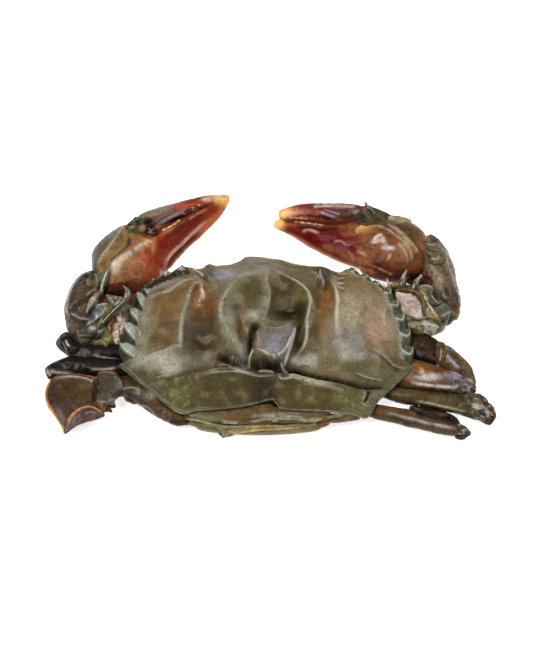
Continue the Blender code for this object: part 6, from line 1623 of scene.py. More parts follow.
# Leg base brown, and the white of the painted glint lines.
BROWN, GLINT_WHITE = (100, 66, 32), (206, 200, 190)
LEG_LOOKS = {
    "right_leg_1_thigh": ((40, 28, 19), [([(49, -3), (52, -5), (56, -8.6)], 0.8, 0.8, -0.4, 1.8)], [
        # The second patch below is painted shadow under the arm.
        (51, -3.4, 4, 2, (64, 42, 25), 0.8), (47, 2.5, 4, 3, (20, 16, 12), 0.95),
    ], [
        ([(46, -3), (50, -5.4), (55, -8.4)], 0.5, 0.8, (78, 50, 30), 0.7),
        # Painted shadow where the thigh meets the next leg, then a painted glint along the knee ridge.
        ([(46, -7), (51, -9), (57, -12)], 2, 3, (16, 13, 10), 0.97),
        ([(56.2, -5), (56.4, -7.5), (56, -9)], 0.3, (190, 178, 166), 0.7),
        ([(55.6, -3.5), (57.5, -6), (57.5, -9)], 0.5, (94, 74, 50), 0.8),
    ]),
    "right_leg_1_shin": ((90, 70, 42), [([(57.5, -4.5), (60.5, -8), (64, -12.8)], 1.0, 0.8, 0.5, 1.6)], [
        (60, -10, 2, 2, (88, 66, 40), 0.7),
    ], [
        # A painted glint along the shin.
        ([(58, -6), (60, -8.4), (63.2, -12.2)], 0.45, 0.5, (176, 162, 172), 0.9),
        ([(57, -1.8), (62, -5.8), (66.5, -12.5), (68, -17)], 0.6, (104, 88, 60), 0.8),
    ]),
    "right_leg_2_thigh": (BROWN, [
        ([(46, -16.3), (53, -17.3), (60, -18)], 0.5, 1.0, 0.5, 1.5),
        ([(48, -12), (51, -13.6), (55, -13.8)], 0.7, 0.7, -0.5, 1.6),
    ], [
        # The second patch below is a painted highlight along the thigh's top; on the next line, the lilac
        # and pale patches on the knee are partly its wrinkled white skin, partly painted highlight.
        (48.5, -11.5, 4, 1.6, (150, 92, 44), 0.9), (52.5, -14.2, 4, 1.3, (206, 196, 184), 0.95),
        (60.5, -13.4, 2.6, 0.8, (176, 160, 186), 0.9), (63.5, -15.5, 4, 2.6, (190, 184, 178), 0.8),
        (59.8, -16, 1.8, 1.2, (58, 46, 40), 0.8), (67, -17, 1.8, 2.4, (96, 84, 74), 0.8),
    ], [
        # A painted glint line below the highlight.
        ([(46.5, -15.8), (53, -16.9), (60, -17.5), (65, -17.8)], 0.4, 0.5, GLINT_WHITE, 0.9),
        ([(46, -18), (54, -19.2), (63, -19.8)], 0.9, 2.0, (66, 52, 38), 0.9),
        ([(49.5, -10.8), (51, -12.4), (49, -12.6)], 0.3, (226, 190, 140), 0.8),
    ]),
    "right_leg_3_thigh": ((84, 68, 38), [([(48, -22.3), (56, -23.8), (66, -26)], 0.6, 0.9, 0.4, 1.6)], [
        (69.5, -25.5, 3.4, 3.6, (96, 84, 72), 0.9), (71.8, -26, 0.9, 3, (186, 128, 92), 0.7),
        (68, -21.4, 2.2, 1.2, (104, 94, 60), 0.7), (43, -23, 6, 0.9, (60, 44, 28), 0.7),
    ], [
        # A painted glint along the thigh.
        ([(48, -21.7), (56, -23.3), (65.5, -25.6)], 0.25, 0.35, (180, 166, 140), 0.85),
        ([(44, -19.6), (47, -20.6)], 0.3, (120, 108, 96), 0.6),
        ([(50, -24.2), (58, -25.6), (66, -27.6)], 0.7, 0.9, (48, 36, 24), 0.8),
    ]), "right_leg_3_shin": ((44, 34, 26), [], [(53, -26, 3, 0.7, (70, 58, 42), 0.6)], []),
    "right_leg_4_thigh": ((86, 66, 36), [([(39, -25.8), (49.5, -28.3), (62, -31)], 0.7, 0.8, 0.4, 1.6)], [
        (64, -31.5, 2.4, 2.4, (76, 64, 56), 0.9), (38, -24.6, 5, 1, (122, 78, 40), 0.6),
    ], [
        # A painted glint along the thigh.
        ([(39, -25.6), (45, -27.3), (55, -29.6), (62, -31)], 0.4, 0.5, (176, 162, 160), 0.9),
        ([(36, -28.3), (46, -30.2), (58, -33)], 1.0, 2.0, (70, 56, 36), 0.85),
        ([(40, -30), (48, -31.2), (57, -33.4)], 0.5, (116, 106, 92), 0.6),
    ]),
    "left_leg_1_thigh": ((28, 23, 16), [([(-62, -6), (-66, -3), (-69, -2)], 0.8, 0.8, 0.5, 1.6)], [
        (-70.5, -2.5, 2, 2, (92, 66, 50), 0.8), (-62, -6.6, 3, 1, (70, 62, 50), 0.7),
    ], [
        # Painted glints, on this line and the next.
        ([(-57, -7.2), (-53, -8.2), (-48, -8.8)], 0.3, (186, 180, 172), 0.9),
        ([(-67.2, -1.8), (-66.4, -3.6), (-65, -5.2)], 0.35, (160, 150, 140), 0.8),
        ([(-66, -6), (-61, -8), (-56, -9)], 0.5, 0.4, (84, 84, 70), 0.8),
        ([(-69.4, -0.6), (-68.4, -2), (-68.6, -3)], 0.3, (186, 104, 62), 0.8),
    ]),
    "left_leg_2_thigh": ((26, 22, 16), [([(-59, -11.4), (-53.5, -12), (-48, -11.6)], 0.7, 0.7, 0.4, 1.6)], [
        (-72.3, -12.6, 1.6, 1.8, (80, 62, 50), 0.85), (-64.5, -10, 4, 0.5, (76, 72, 70), 0.5),
    ], [
        # Painted highlights, on this line and the next.
        ([(-58, -11.8), (-53.5, -12), (-49, -11.5)], 0.5, 0.4, (160, 150, 146), 0.85),
        ([(-71.5, -12.6), (-68, -13), (-63, -13.4)], 0.5, 0.4, (172, 166, 160), 0.8),
        ([(-72, -11.4), (-71.6, -13.2), (-70.4, -14)], 0.35, (206, 170, 140), 0.7),
    ]), "left_leg_3_thigh": ((64, 46, 30), [], [], []),
    "left_swim_thigh": ((74, 54, 30), [
        ([(-46, -17.5), (-40, -21), (-34, -26.5), (-26, -31)], 0.6, 1.0, 0.4, 1.6),
        ([(-39.5, -18), (-37.5, -20.5), (-38, -23)], 0.6, 0.6, -0.5, 1.6),
        ([(-33, -26), (-32, -28), (-32.6, -30)], 0.4, 0.4, -0.4, 1.6),
    ], [
        (-37.5, -19.6, 2.2, 1.8, (156, 148, 132), 0.85), (-31.5, -26.5, 3.6, 2, (84, 62, 36), 0.9),
        (-26, -29.5, 2, 1.2, (50, 36, 24), 0.8),
    ], [
        (
            [(-46, -20.9), (-42, -23.2), (-37.8, -24.2), (-33.8, -28.9), (-27, -31.3)], 0.3, 0.5,
            (140, 132, 118), 0.8,
        ),
        ([(-44.5, -17.6), (-42.4, -18.6), (-40.8, -19)], 0.5, (172, 164, 150), 0.8),
        ([(-33.6, -26), (-32.6, -28), (-33, -30)], 0.4, (116, 86, 72), 0.7),
    ]),
    "left_swim_wrist": ((78, 68, 52), [
        ([(-55.5, -13.4), (-50, -14.6), (-47, -17)], 0.5, 0.8, 0.4, 1.5),
        ([(-56.5, -20), (-52, -22), (-47, -20)], 0.6, 0.6, 0.4, 1.6),
    ], [
        (-51.5, -17.5, 4, 4, (74, 64, 50), 0.8), (-55, -22.5, 2, 1.6, (112, 96, 54), 0.7),
        (-46.8, -16.6, 1.4, 1.8, (150, 142, 140), 0.7),
    ], [
        ([(-55.5, -13.3), (-52, -12.8), (-48.5, -13.4)], 0.35, (198, 118, 74), 0.85),
        ([(-50, -14.2), (-48, -15.4), (-46.6, -18)], 0.3, (160, 152, 140), 0.7),
        ([(-56, -21.4), (-52.4, -22.4), (-48, -20.6)], 0.35, (152, 140, 136), 0.7),
        ([(-57.4, -24), (-53.5, -24.6), (-50, -22.8), (-48, -21.4)], 0.3, 0.6, (146, 92, 56), 0.75),
    ]),
    "left_swim_blade": ((70, 50, 28), [
        ([(-70.5, -15), (-64, -14.5), (-57, -15.5)], 0.5, 0.7, 0.4, 1.5),
        ([(-69.5, -18.4), (-67.5, -17.8), (-66, -18.4)], 0.4, 0.4, -0.15, 1.6),
    ], [
        (-63, -19, 5, 3, (80, 62, 32), 0.7), (-65, -24, 4, 3, (62, 40, 26), 0.8),
        (-66.5, -27.5, 2, 1.6, (92, 62, 48), 0.7), (-59, -16.8, 3, 1.2, (100, 84, 44), 0.6),
        (-68.5, -21, 1.4, 3, (56, 40, 30), 0.7),
    ], [
        # A pale band below the orange rim: partly pale crumpled skin, partly a painted glint.
        ([(-70, -14.9), (-64, -14.3), (-58, -15.1), (-55.5, -16.6)], 0.25, 0.45, (196, 190, 182), 0.85),
        ([(-70.6, -14), (-64, -13.2), (-57.6, -14), (-55.6, -15.6)], 0.8, 0.35, (196, 104, 58), 0.95),
        (
            [(-71.2, -15.5), (-72.2, -19), (-71.7, -22), (-69.2, -25.5), (-66.8, -29), (-64.3, -32.5)],
            0.45, 0.9, (224, 182, 116), 0.95,
        ),
        (
            [(-70.9, -16), (-71.6, -19), (-71, -22), (-68.6, -25.4), (-66.2, -28.8)], 0.25, (188, 104, 58),
            0.7,
        ),
        ([(-69.3, -17.6), (-67.6, -17), (-66.4, -17.6)], 0.2, (104, 80, 82), 0.7),
    ]),
    "left_swim_paddle": ((86, 62, 58), [([(-60.5, -26.5), (-57, -26), (-53, -26.6)], 1.4, 1.4, 0.2, 2.0)], [
        (-57, -25.6, 3, 1.4, (90, 66, 66), 0.8), (-61.5, -29, 1.6, 1.6, (112, 86, 70), 0.7),
    ], [
        ([
            (-64, -29.5), (-63.4, -27.8), (-61.4, -25.2), (-58.5, -23.8), (-56, -23.8), (-53.4, -25.2),
            (-50.6, -26.2),
        ], 0.6, 0.45, (214, 146, 86), 0.95),
        ([(-63.6, -32.2), (-60.6, -29.9), (-57, -28.4), (-51, -26.6)], 0.4, 0.5, (142, 112, 92), 0.7),
        ([(-58.4, -26), (-56.6, -25.4), (-54.6, -26)], 0.3, (176, 164, 176), 0.6),
    ]),
}
leg_tops = {}
for name, (base, folds, patches, streaks) in LEG_LOOKS.items():
    under = [0.8 * c + 30 for c in base]
    if name in LEG_PLATES:
        leg = work(
            plate(*LEG_PLATES[name]), name + "_skin", base, under, folds, [], patches, streaks,
            paddle_glaze, "paddle_shell", name, slack=(0.2, 0.08),
        )
    else:
        leg = segment(
            name + "_skin", LEGS[name], base, under, folds, patches, streaks, leg_glaze, "leg_shell", name,
            sides=90, rows=140, blunt=(8, 5), slack=(0.3, 0.16),
        )
    leg_tops[name] = top_of(leg)

# Knees and cracked ends, where the shell has split and the skin dried into pale crusts.
KNEES = [
    ("right_leg_1_knee", [
        (56.4, -2.9), (58.8, -3.4), (59.4, -6), (58, -9.6), (56.2, -10.6), (55.4, -8), (56, -5.6),
    ], 0.4, 0.3, ("right_leg_1_thigh", "right_leg_1_shin"), (94, 74, 44), [], [
        # A painted glint along the knee ridge.
        ([(57.4, -4.6), (57.2, -7.2), (56.7, -9.4)], 0.16, (190, 176, 164), 0.9),
    ], (0.1, 0.15)),
    ("right_leg_2_knee", [
        (61, -14), (63.4, -13.4), (66.4, -13.8), (68, -16), (68.2, -18.8), (66.6, -20.4), (63.4, -19.8),
        (61.2, -18),
    ], 0.4, 0.3, ("right_leg_2_thigh",), (122, 112, 108), [
        (66.4, -15, 1, 0.9, (206, 160, 146), 0.8), (62.4, -14.2, 1.6, 0.7, (158, 142, 176), 0.8),
        (67, -19, 1.4, 1.2, (72, 60, 50), 0.8),
    ], [([(60.4, -15.6), (62.4, -16), (63.4, -17.6)], 0.35, (58, 46, 42), 0.8)], (0.2, 0.25, 0.45)),
    ("right_leg_3_knee", [
        (64.6, -19.8), (67, -19.4), (70, -20.1), (72.3, -22.4), (74.2, -25.6), (74.2, -27.6), (72.3, -30),
        (69.5, -28.6), (66.8, -27), (65.2, -23.6),
    ], 0.5, 0.3, ("right_leg_3_thigh",), (100, 86, 66), [
        (68.6, -21.4, 2.4, 1.2, (106, 94, 54), 0.85), (74, -25.6, 0.6, 1.6, (196, 116, 74), 0.9),
        (71, -26.6, 2, 1.6, (84, 72, 64), 0.7),
    ], [
        ([(66, -23.4), (68.4, -24.4), (70.6, -24)], 0.3, (190, 186, 184), 0.85),
        ([(67.4, -25.6), (70, -27), (72, -26.4)], 0.25, (180, 174, 172), 0.8),
    ], (0.2, 0.3, 0.4)),
    ("right_leg_4_end", [
        (61.4, -29.4), (63.4, -29.6), (65.2, -31), (66, -32.2), (64.8, -33.6), (63, -34.4), (61, -33.8),
        (60.4, -31.6),
    ], 0.1, 0.05, ("right_leg_4_thigh",), (78, 66, 50), [], [
        ([(63, -31), (64.6, -31.4), (65.6, -32.6)], 0.25, (164, 152, 140), 0.7),
        ([(62.6, -32.6), (64, -33), (65, -33.6)], 0.2, (40, 30, 22), 0.7),
    ], (0.2, 0.3, 0.1)),
    ("right_leg_web", [
        (48.2, -23.2), (50.4, -24.2), (55, -25.2), (60.2, -26.4), (62.4, -29), (60.4, -29.4), (57.6, -28.6),
        (52.8, -27.6), (49.4, -26.8), (47.8, -25),
    ], 0.3, 0.3, ("right_leg_3_shin", "right_leg_4_thigh"), (48, 33, 22), [
        (55, -26.6, 3, 0.6, (84, 66, 46), 0.7),
    ], [], (0.2, 0.15)),
    ("left_leg_1_end", [
        (-69.6, -2.9), (-68.6, -0.9), (-66.9, 0.4), (-64.8, -0.6), (-64, -3.4), (-61.8, -5.6),
        (-64.2, -7.2), (-67.4, -5.8),
    ], 0.6, 0.3, ("left_leg_1_thigh",), (36, 28, 20), [
        (-67.6, -1, 0.5, 0.3, (150, 88, 54), 0.8), (-69, -3, 0.3, 0.5, (116, 78, 56), 0.7),
    ], [
        # Painted glints, on this line and the next.
        ([(-66.4, -2), (-66, -3.4), (-64.8, -4.6)], 0.3, (206, 198, 190), 0.9),
        ([(-67.8, -2.6), (-67, -4.2), (-65.6, -5.6)], 0.2, (150, 140, 132), 0.8),
    ], (0.3, 0.3)),
    ("left_swim_joint", [
        (-56.6, -15.4), (-55, -14.6), (-54.2, -17), (-54.6, -20), (-55.2, -22.2), (-56.6, -22.4),
        (-57, -19),
    ], 0.1, 0.1, ("left_swim_wrist", "left_swim_blade"), (58, 41, 26), [
        (-55.6, -16.4, 0.4, 0.6, (110, 74, 44), 0.6),
    ], [], (0.1, 0.2)),
    ("left_hip_knee", [
        (-47.4, -17.6), (-44.9, -17.1), (-41.6, -17.6), (-40.4, -20), (-40.8, -22.5), (-43.3, -23.3),
        (-45.8, -22.4), (-47.2, -20),
    ], 0.8, 0.3, ("left_swim_thigh",), (76, 64, 48), [
        (-43.4, -20.8, 1.6, 1.4, (58, 46, 32), 0.8), (-41.4, -18.8, 1.2, 1.2, (150, 146, 132), 0.8),
    ], [
        ([(-47, -18.4), (-44.6, -17.6), (-42, -18)], 0.25, 0.3, (160, 156, 146), 0.8),
        ([(-46.8, -20.6), (-45, -22.6), (-42, -22.9)], 0.25, (156, 116, 88), 0.7),
    ], (0.2, 0.2)),
    ("left_swim_membrane", [
        (-57.8, -20.4), (-56, -20), (-54.8, -22.4), (-52.6, -23.6), (-49.6, -22.6), (-49, -24.2),
        (-50.4, -24.4), (-50, -25.6), (-52.4, -25.6), (-54.4, -27.4), (-56.4, -26), (-58.4, -25),
    ], 0.0, 0.05, ("left_swim_blade",), (76, 55, 33), [], [
        ([(-57, -26), (-54.4, -27), (-52.2, -25.4), (-50.2, -25.2)], 0.25, (158, 104, 66), 0.8),
    ], (0.15, 0.15)),
]
for name, outline, crown, lift, legs, colour, patches, streaks, slack in KNEES:
    tops = [leg_tops[leg] for leg in legs]
    work(
        laid_plate(outline, crown, lift, *tops), name, colour, [0.8 * c for c in colour], [], [], patches,
        streaks, leg_glaze, "leg_shell", slack=slack,
    )

# ------------------------------------------------------------------------------- tail
# The tail, folded under the body: its first bands show behind the shell as a brown trough with
# pale, torn rims, and the flap runs forward beneath, pressed to the belly, for the crab to lie on.

TAIL_BAND = [(-24.6, 7.0, 23), (-27.0, 6.9, 23.5), (-28.8, 6.5, 23), (-30.4, 5.7, 21.5)]
TAIL_FLAP = [
    (-25.6, 4.4, 20), (-28.4, 4.3, 21), (-30.4, 3.6, 21), (-31.2, 2.4, 20), (-30.2, 1.1, 18),
    (-26, 0.75, 16), (-16, 0.75, 14.5), (-4, 0.75, 12.5), (7, 0.75, 9), (15, 0.75, 4),
]
TAIL_BOW = 1.7
TAIL_SHIFT = -2.5


def tail_sheet(side_view, bowed, thick, steps, rows):
    """A tail piece: a sheet along its side view of (y, z, half width), bowed across."""
    mesh, turn, row = rolled_blank(steps, rows)
    share = 1 - np.abs(2 * turn - 1)
    face = np.where(turn < 0.5, -1.0, 1.0)
    y, z, half = along(side_view, share).T
    ahead = along(side_view, np.minimum(share + 0.01, 1)) - along(side_view, np.maximum(share - 0.01, 0))
    length = np.hypot(ahead[:, 0], ahead[:, 1])
    wall = 0.5 * thick * np.clip(1 - np.abs(2 * share - 1) ** 12, 0, 1) ** 0.5
    wall *= np.clip(1 - np.abs(2 * row - 1) ** 24, 0, 1) ** 0.5
    across = 2 * row - 1
    behind = np.clip((bowed - share * (len(side_view) - 1)) / 1.5, 0, 1)
    spots = np.stack([
        across * half + TAIL_SHIFT * behind,
        y - TAIL_BOW * (1 - across**2) * behind - face * wall * ahead[:, 1] / length,
        z + face * wall * ahead[:, 0] / length,
    ], 1)
    move_to(mesh, spots)
    return mesh, share, across


tail_glaze = wet_shell("tail_shell_wet", 0.2, 0.6, (0.28, 0.44), 0.06, 0.06, 0.0, 0.15)
for name, side_view, bowed, thick, steps, rows, base, folds, patches, streaks in (
    ("tail_band", TAIL_BAND, 4, 1.1, 160, 200, (102, 86, 50), [
        (
            [(-22.5, -26.5), (-15, -28.4), (-10, -28.9), (-0.5, -28), (7.5, -28), (16, -27)], 0.9, 0.6, 0.5,
            1.5,
        ),
        ([(-14.5, -25.4), (-8.5, -26.6), (-2.5, -27.6)], 1.2, 1.2, -0.6, 1.8),
    ], [
        (-8, -26.4, 8, 1.5, (92, 70, 38), 0.9), (-20, -27, 5, 1.4, (132, 132, 112), 0.8),
        (5, -26.6, 7, 0.9, (168, 162, 140), 0.9), (15, -26.6, 5, 0.8, (156, 152, 120), 0.8),
    ], [
        ([
            (-22.5, -26.3), (-15, -28.1), (-10, -28.7), (-4.5, -28.4), (-0.5, -27.8), (7.5, -27.8),
            (16, -27),
        ], 0.35, (158, 148, 132), 0.85), ([(-14, -26.7), (-8, -28), (-1, -27.3)], 0.4, (70, 54, 32), 0.7),
    ]),
    ("tail_flap", TAIL_FLAP, 5, 1.5, 260, 160, (142, 122, 76), [
        ([(-12, -29.8), (-4, -30.4), (6, -29.9), (12, -29.2)], 0.4, 0.4, 0.3, 1.6),
    ], [
        (-20, -29.4, 2.6, 0.7, (44, 32, 22), 0.95), (19, -28.6, 4, 1.0, (112, 72, 44), 0.9),
        (-17, -30.4, 3, 0.8, (120, 116, 92), 0.8),
    ], [
        ([(-14, -29.2), (-5.5, -30), (2.5, -29.2), (11, -28.8)], 0.3, (96, 72, 40), 0.8),
        ([(-23, -30.5), (-15, -31.9), (-5.5, -32.2), (7.5, -31.6), (18, -30.6)], 0.5, (132, 118, 112), 0.8),
    ]),
):
    mesh, share, across = tail_sheet(side_view, bowed, thick, steps, rows)
    out = facing(mesh)
    spots = spots_of(mesh)
    drawn = board(spots)
    front = towards_board(out)
    lift = front * pressed(drawn, folds) + 0.12 * crumple(spots, 3.0, 6.0) * ease((spots[:, 2] - 1.8) / 1.0)
    joints = np.zeros(len(spots))
    for place in (-24, -17, -10, -3, 4, 10):
        joints = np.maximum(
            joints, np.exp(-(((spots[:, 1] - place + 0.004 * spots[:, 0] ** 2) / 0.55) ** 2)),
        )
    joints *= ease((1.0 - spots[:, 2]) / 0.4) * ease(-out[:, 2] * 3)
    lift -= 0.4 * joints
    move_to(mesh, spots + out * lift[:, None])
    skin = np.tile(tint(*base), (len(spots), 1))
    brush(skin, 0.5 * ease(crumple(spots, 3.0, 2.0) * 2), (88, 72, 42))
    dab(skin, drawn, patches, streaks, front)
    brush(skin, 0.95 * ease((1.9 - spots[:, 2]) / 0.8), (188, 170, 132))
    brush(skin, 0.7 * joints, (128, 104, 70))
    facing(mesh)
    settle(mesh, name + "_skin", skin, tail_glaze, "tail_shell", name)

TAIL_TROUGH = [
    (-26.5, -26.8, 6), (-20, -25, 7), (-10, -24, 7.6), (0, -23.4, 8), (10, -25.6, 7.4), (20, -25.9, 7),
    (27, -26.4, 6.2), (30, -27.8, 5.2), (24, -28.8, 4.4), (16, -29.2, 4.2), (7.5, -29.4, 4), (-1, -29.7, 4),
    (-10, -30, 4), (-15, -29.6, 4.2), (-22, -28.4, 4.8),
]
TAIL_RIM = [
    (-17, -28.9, 4.8), (-10, -29.4, 4.6), (0, -28.8, 4.6), (8, -28.6, 4.6), (16, -28.3, 4.8),
    (20.5, -28.8, 4.2), (18, -30.6, 3), (7.5, -31.6, 2.6), (1, -31.7, 2.4), (-5.5, -32.2, 2.2),
    (-11, -32.6, 2), (-13.6, -33.6, 1.8), (-15, -32, 2.2), (-17.5, -30.9, 3), (-23, -30.4, 3.4),
    (-25.5, -28.8, 4.4),
]
work(plate(TAIL_TROUGH, -0.7, 1.0, 260, 60), "tail_trough", (100, 82, 46), (150, 130, 92), [
    (
        [(-22.5, -26.5), (-15, -28.4), (-10, -28.9), (-0.5, -28), (7.5, -28), (16, -27.4)], 0.8, 0.6, 0.6,
        1.5,
    ),
    ([(-3, -25.6), (4, -26.4), (12, -27), (20, -26.6)], 1.0, 0.8, 0.5, 1.6),
], [], [
    (-8, -26.4, 8, 1.5, (96, 74, 40), 0.9), (-20.5, -27, 4, 1.4, (136, 136, 114), 0.8),
    (5, -26.2, 7, 0.9, (170, 164, 142), 0.9), (17, -26.4, 6, 0.8, (156, 152, 118), 0.8),
], [], tail_glaze, "tail_shell", slack=(0.2, 0.08))
work(plate(TAIL_RIM, 0.1, 1.3, 300, 50), "tail_torn_rim", (142, 122, 76), (170, 148, 110), [
    ([(-12, -29.8), (-4, -30.4), (6, -29.9), (12, -29.2)], 0.4, 0.4, 0.35, 1.6),
    ([(-12, -31), (-4, -31.4), (6, -30.7), (13, -30)], 0.4, 0.4, -0.35, 1.6),
], [], [(-20, -29.5, 2.6, 0.7, (40, 30, 22), 0.95), (19, -29, 4, 1.0, (110, 72, 44), 0.9)], [
    ([(-14, -29.4), (-5.5, -30.1), (2.5, -29.3), (11, -29)], 0.3, (98, 74, 42), 0.85),
    ([(-23, -30.4), (-15, -31.7), (-5.5, -32), (7.5, -31.4), (18, -30.4)], 0.4, 0.5, (136, 122, 116), 0.8),
], tail_glaze, "tail_shell", slack=(0.15, 0.08))

# The torn rims and rolls of skin that lie over the trough.
on_tail = [
    top_of(bpy.data.objects[name])
    for name in ("tail_trough", "tail_torn_rim", "tail_flap_skin", "tail_band_skin")
]
TAIL_LAID = [
    ("tail_basin", [
        (-23.4, -27.3), (-20.2, -25.5), (-11.1, -24.6), (0.6, -22.8), (4.4, -25.3), (9.3, -26), (16, -26),
        (22, -26.2), (14, -28), (8.5, -28.6), (1.1, -29.6), (-7, -30), (-12.8, -30.4), (-18.5, -29.2),
    ], -0.3, 0.25, (96, 76, 40), [
        (-7, -26.6, 6, 1.6, (104, 78, 42), 0.8), (5, -26.4, 6, 0.9, (140, 130, 96), 0.8),
        (-18, -27.4, 4, 1.2, (120, 112, 76), 0.8),
    ], [
        ([(-7.4, -24.8), (-8, -26.8), (-8.8, -29)], 0.25, (136, 108, 64), 0.7),
        ([(-3, -25.4), (4, -27), (12, -27.4)], 0.3, (64, 50, 28), 0.7),
    ]),
    ("tail_ochre_roll", [
        (-13, -31.4), (-9, -30.2), (-4, -29.4), (1.1, -29.1), (6, -29.6), (10.6, -29.3), (16.4, -28),
        (17, -29.2), (11, -30.6), (5, -31.2), (-1, -31.3), (-7, -32.2), (-11.4, -33),
    ], 0.5, 0.4, (170, 148, 92), [(12, -29.6, 4, 0.8, (140, 110, 64), 0.7)], [
        ([(-11, -31.4), (-4, -30.6), (4, -30.4), (12, -29.8)], 0.22, (104, 82, 46), 0.8),
        ([(-11, -32.2), (-4, -31.5), (4, -31), (10, -30.5)], 0.2, (196, 180, 132), 0.7),
    ]),
    ("tail_torn_flap", [
        (-25.4, -27.6), (-21, -28), (-17, -29.2), (-13.6, -30.4), (-12.4, -32), (-13, -33.2), (-14, -34),
        (-15.6, -32.6), (-17, -31), (-19.6, -30.2), (-23, -29.4),
    ], 0.3, 0.4, (124, 118, 84), [(-22, -28.6, 2, 0.7, (60, 48, 32), 0.8)], [
        ([(-25, -27.7), (-20, -28.4), (-15, -30)], 0.25, (176, 172, 146), 0.8),
        ([(-18, -30.2), (-15.6, -31.4), (-14.2, -33.4)], 0.25, (78, 68, 42), 0.8),
    ]),
    ("tail_right_end", [
        (15, -27.2), (19, -26.6), (23.4, -26.4), (27, -25.8), (29.4, -26.6), (27, -28), (22.4, -28.6),
        (18.6, -29.6), (15.4, -29.6),
    ], 0.3, 0.3, (112, 90, 54), [
        (19, -28.6, 2, 0.8, (140, 88, 46), 0.8), (25, -27, 2, 0.6, (100, 96, 64), 0.8),
    ], [([(16, -28.6), (20, -28), (25, -27.6)], 0.2, (62, 46, 28), 0.8)]),
]
for name, outline, crown, lift, colour, patches, streaks in TAIL_LAID:
    work(
        laid_plate(outline, crown, lift, *on_tail), name, colour, [0.8 * c for c in colour], [], [],
        patches, streaks, tail_glaze, "tail_shell", slack=(0.15, 0.12),
    )
TAIL_STRIPS = [
    ("tail_pale_rim", [
        (-26, -27.6, 0.3, 0.4, 0), (-21, -28.3, 0.5, 0.5, 0.2), (-15.2, -29.9, 0.6, 0.6, 0.3),
        (-11, -30.3, 0.6, 0.6, 0.4), (-2, -29.2, 0.6, 0.6, 0.4), (4.4, -27.5, 0.6, 0.6, 0.4),
        (9, -27.6, 0.6, 0.6, 0.4), (14.3, -28, 0.6, 0.6, 0.3), (20, -27.2, 0.5, 0.5, 0.2),
        (26, -25.9, 0.7, 0.6, 0),
    ], (134, 128, 96), [(0, -28.8, 6, 0.6, (156, 148, 118), 0.7)], [
        ([(-20, -28.3), (-11, -30), (-2, -28.9), (6, -27.2)], 0.2, (190, 184, 162), 0.7),
    ]),
]
for name, line, colour, patches, streaks in TAIL_STRIPS:
    work(
        laid_strip(line, *on_tail, rows=160), name, colour, [0.8 * c for c in colour], [], [], patches,
        streaks, tail_glaze, "tail_shell", slack=(0.2, 0.15),
    )

# ------------------------------------------------------------------------------- face
# Stalked black eyes lying in their notches under the brow, and the pair of jaw plates that
# close the mouth below.

eye_glaze = wet_shell("wet_eye", 0.05, 0.4, (0.06, 0.12), 1.0, 0.01)
for side, name in ((-1, "left"), (1, "right")):
    mesh, share, angle = limb([
        (side * 17, 22.6, 9.6, 1.1, 1.1), (side * 21, 23.6, 10.2, 1.2, 1.2),
        (side * 22.6, 23.8, 10.4, 1.7, 1.6), (side * 25.6, 24.2, 10.8, 1.9, 1.7),
    ], 60, 80, (2.6, 2.6))
    spots = spots_of(mesh)
    skin = np.tile(tint(150, 112, 72), (len(spots), 1))
    brush(skin, ease((np.abs(spots[:, 0]) - 22.2) / 0.4), (16, 14, 13))
    facing(mesh)
    settle(mesh, name + "_eye_skin", skin, eye_glaze, "eye", name + "_eye")
    segment(
        name + "_jaw_skin", [
            (side * 4.2, 23.4, 9.2, 3.2, 1), (side * 4.4, 22.6, 5.6, 3.6, 1.1),
            (side * 3.6, 20.6, 2.6, 2.6, 1),
        ], (176, 150, 110), (186, 158, 118), [], [], [], tail_glaze, "belly_shell", name + "_mouth_plate",
        sides=60, rows=60, slack=(0.1, 0.04),
    )

# ------------------------------------------------------------------------------- floor, light and camera
# A plain pale table, one large soft lamp above and to the left, a smaller one opposite, and a
# camera that looks down on the tail.

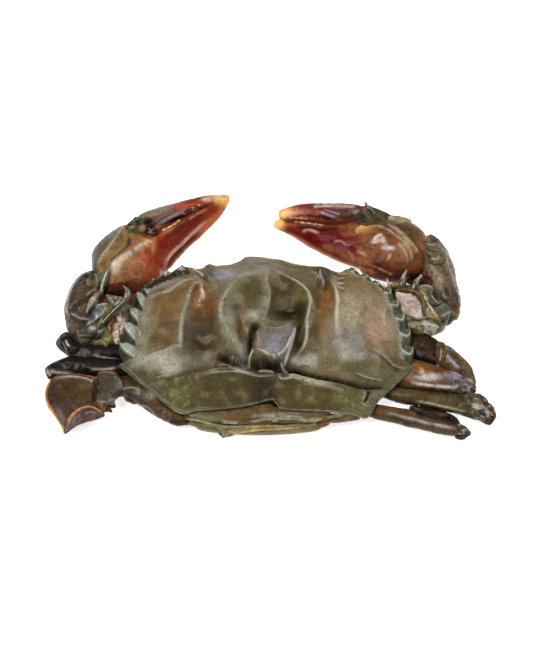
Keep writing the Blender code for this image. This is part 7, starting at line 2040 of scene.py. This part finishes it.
bm = bmesh.new()
bmesh.ops.create_grid(bm, x_segments=1, y_segments=1, size=1.5)
floor_mesh = bpy.data.meshes.new("table_top")
bm.to_mesh(floor_mesh)
bm.free()
floor = bpy.data.objects.new("table_top", floor_mesh)
floor_material = bpy.data.materials.new("pale_table")
floor_material.use_nodes = True
floor_shader = floor_material.node_tree.nodes["Principled BSDF"]
floor_shader.inputs["Base Color"].default_value = (0.93, 0.93, 0.93, 1)
floor_shader.inputs["Roughness"].default_value = 0.9
floor_shader.inputs["Specular IOR Level"].default_value = 0.1
floor_shader.inputs["Emission Color"].default_value = (1, 1, 1, 1)
floor_shader.inputs["Emission Strength"].default_value = 0.75
floor_mesh.materials.append(floor_material)
bpy.context.scene.collection.objects.link(floor)
floor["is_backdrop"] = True


def lamp(name, where, aim, size, power, colour=(1, 1, 1)):
    light = bpy.data.lights.new(name, "AREA")
    light.shape = "RECTANGLE"
    light.size, light.size_y = size
    light.energy = power
    light.color = colour
    obj = bpy.data.objects.new(name, light)
    obj.location = where
    direction = np.array(aim) - np.array(where)
    obj.rotation_euler = Vector(direction).to_track_quat("-Z", "Y").to_euler()
    bpy.context.scene.collection.objects.link(obj)


lamp("window", (-0.6, -0.15, 1.05), (0, 0, 0), (0.7, 0.5), 15)
lamp("overhead", (0.6, 0.1, 1.05), (0, 0, 0), (0.8, 0.8), 9)
world = bpy.data.worlds.new("studio")
world.use_nodes = True
world.node_tree.nodes["Background"].inputs["Color"].default_value = (1, 1, 1, 1)
world.node_tree.nodes["Background"].inputs["Strength"].default_value = 0.1
bpy.context.scene.world = world
bpy.context.scene.view_settings.view_transform = "Standard"

camera_data = bpy.data.cameras.new("camera")
camera_data.lens = 85
camera_data.sensor_width = 36
camera = bpy.data.objects.new("camera", camera_data)
camera.location = (0, 0.008 - math.cos(LEAN) * 0.533, math.sin(LEAN) * 0.533)
camera.rotation_euler = (math.pi / 2 - LEAN, 0, 0)
bpy.context.scene.collection.objects.link(camera)
bpy.context.scene.camera = camera

low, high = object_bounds()
